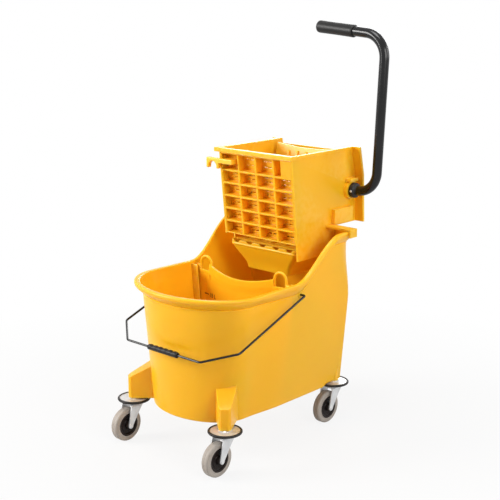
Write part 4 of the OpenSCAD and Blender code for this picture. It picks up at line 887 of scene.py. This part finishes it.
def chute_row(t):
    """U-shaped row of the chute's skin seen from above, at a share of the way down."""
    half = between(CHUTE_TOP_HALF, CHUTE_FOOT_HALF, eased(t)) - CHUTE_T / 2
    front = CHUTE_FRONT_Y + CHUTE_SET_BACK * eased(t) + CHUTE_T / 2
    r = CHUTE_ROUND - CHUTE_T / 2
    right = [(half, between(CHUTE_BACK_Y, front + r, k / 30)) for k in range(30)]
    right += [(half - r + r * math.cos(a), front + r - r * math.sin(a)) for a in quarter(8)]
    across = [(between(half - r, r - half, k / 90), front) for k in range(1, 90)]
    return right + across + [(-x, y) for x, y in reversed(right)]


def chute_top(x, y):
    """Height of the top edge: notched in front, and lower where the sides pass under the wringer's floor."""
    if y > CHUTE_SIDE_Y:
        return CHUTE_SIDE_Z
    pitch = 2 * CHUTE_TOP_HALF / NOTCHES
    off = (x + CHUTE_TOP_HALF) % pitch - pitch / 2
    if abs(x) > CHUTE_TOP_HALF - CHUTE_ROUND or abs(off) >= NOTCH_R:
        return CHUTE_TOP_Z
    return min(CHUTE_TOP_Z, CHUTE_TOP_Z + NOTCH_DROP - math.sqrt(NOTCH_R ** 2 - off ** 2))


bm = bmesh.new()
row = None
tops = [chute_top(x, y) for x, y in chute_row(0)]
for k in range(CHUTE_ROWS + 1):
    line = []
    for i, top in enumerate(tops):
        z = between(top, CHUTE_FOOT_Z, k / CHUTE_ROWS)
        line.append((*chute_row(chute_share(z))[i], z))
    row = start_row(bm, line, False) if k == 0 else grow_row(bm, row, line)
chute = make_piece("chute_funnel", bm, shell_plastic, "wringer", ["drain_chute"], 50)
thicken(chute, "wall", CHUTE_T)
round_edges(chute, 0.8)

# A stiffening bead runs below the notches and ends on the chute's sides
BEAD_Z, BEAD_HALF, BEAD_OUT, BEAD_PROUD, BEAD_SIDES = 413, 3.6, 2.6, 0.8, 12
corner_x, corner_y = CHUTE_TOP_HALF - CHUTE_ROUND - 2, CHUTE_FRONT_Y + CHUTE_ROUND
bm = bmesh.new()
row = None
for x, y in chute_row(chute_share(BEAD_Z)):
    if y < CHUTE_SIDE_Y:
        bend = math.atan2(max(0, abs(x) - corner_x), max(0.01, corner_y - y))
        out = Vector((math.copysign(math.sin(bend), x), -math.cos(bend), 0))
        section = []
        for k in range(BEAD_SIDES):
            turn = 2 * math.pi * k / BEAD_SIDES
            middle = Vector((x, y, BEAD_Z + BEAD_HALF * math.sin(turn)))
            section.append(middle + out * (BEAD_PROUD + BEAD_OUT * math.cos(turn)))
        row = start_row(bm, section) if row is None else grow_row(bm, row, section)
bmesh.ops.holes_fill(bm, edges=bm.edges, sides=BEAD_SIDES)
make_piece("chute_bead", bm, shell_plastic, "wringer", (), 60)

# Tool hook: a brighter yellow clip, moulded by itself and pushed into the strainer's corner cell.
# Its arm reaches past the side of the wringer and turns down to hold a tool's handle.
hook_plastic = make_finish(
    "hook_yellow", "FFC41E", "F8B810", "FFDE80",
    {"Tone Scale": 20.0, "Grain Scale": 1400.0, "Scuff": 0.3, "Edge Wear Highlight Amount": 0.4,
     "Rough": 0.34, "Rough Drift": 0.08},
    {"IOR": 1.49}, 0.0001,
)
dress("tool_hook", hook_plastic, 2.4, 4)

# Press plate: the yellow plate that squeezes the mop, ribbed in front, with two slotted yokes behind.
# It slides on rails inside the frame and is pulled forward by the cranks.
dress("press_plate", shell_plastic, 1.0, 2)

# Drive: a plated steel shaft in black nylon bushes, turned by the lever.
# Two black cranks are fixed on it, and their pins run in the press plate's yokes.
black_plastic = make_finish(
    "black_nylon", "1A1919", "222120", "3D3A38",
    {"Tone Scale": 40.0, "Grain Scale": 1300.0, "Scuff": 0.3, "Edge Wear Highlight Amount": 0.4, "Rough": 0.4, "Rough Drift": 0.1},
    {"IOR": 1.5, "Specular IOR Level": 0.25}, 0.00015,
)
for name, material, width in (
    ("drive_shaft", zinc_steel, 0.8), ("crank_pins", zinc_steel, 0.6), ("collar_pin", zinc_steel, 0.6),
    ("crank_arms", black_paint, 0.9), ("shaft_bushes", black_plastic, 0.7),
    ("shaft_retainer", black_plastic, 1.2),
):
    dress(name, material, width)

# Handle: a steel tube, bent twice and painted gloss black, pinned to the shaft through its collar.
# A closed grip of soft vinyl is pushed over its upper end.
SHAFT = Vector((0, 246, 539))
HANDLE_CORNERS = [(134.3, 0), (183, 0), (190, 347), (8, 362)]
HANDLE_BENDS, TUBE_R = (48, 54), 11
HANDLE_LEAN = math.atan2(9, 347)
lean = Matrix.Translation(SHAFT) @ Matrix.Rotation(-HANDLE_LEAN, 4, "X")
line = [lean @ Vector((x, 0, z)) for x, z in HANDLE_CORNERS]
bm = bmesh.new()
bend_rod(bm, line, HANDLE_BENDS, TUBE_R, 40, 20)
make_piece("lever_tube", bm, black_paint, "handle", ["handle_tube"], 60)

LEVER_GRIP_L, LEVER_GRIP_R, LEVER_CAP, LEVER_BORE_R = 98, 14, 4, TUBE_R + 0.05
inwards = (line[2] - line[3]).normalized()
bm = bmesh.new()
profile = [(0, -LEVER_CAP), (9.0, -LEVER_CAP), (11.6, -3.4), (13.2, -1.6), (13.9, 0.8), (LEVER_GRIP_R, 3.5)]
profile += [(13.6, 50), (LEVER_GRIP_R, 92), (LEVER_GRIP_R, 96.6), (13.6, 97.6), (12.8, LEVER_GRIP_L)]
profile += [(LEVER_BORE_R, LEVER_GRIP_L), (LEVER_BORE_R, 40)]
turn_round(bm, profile, line[3], inwards, 48)
make_piece("lever_grip", bm, grip_rubber, "handle", ["handle_grip"], 40)

bm = bmesh.new()
turn_round(
    bm,
    [(8.1, 118.4), (15.6, 118.4), (16.8, 118.9), (17.2, 120), (17.2, 127), (16.6, 129), (14.6, 130.6),
     (12.6, 131.6), (12.2, 133.4), (11.4, 134.2), (0, 134.3)],
    (0, SHAFT.y, SHAFT.z), (1, 0, 0), 56,
)
make_piece("lever_collar", bm, black_plastic, "handle", ["handle_collar"], 40)
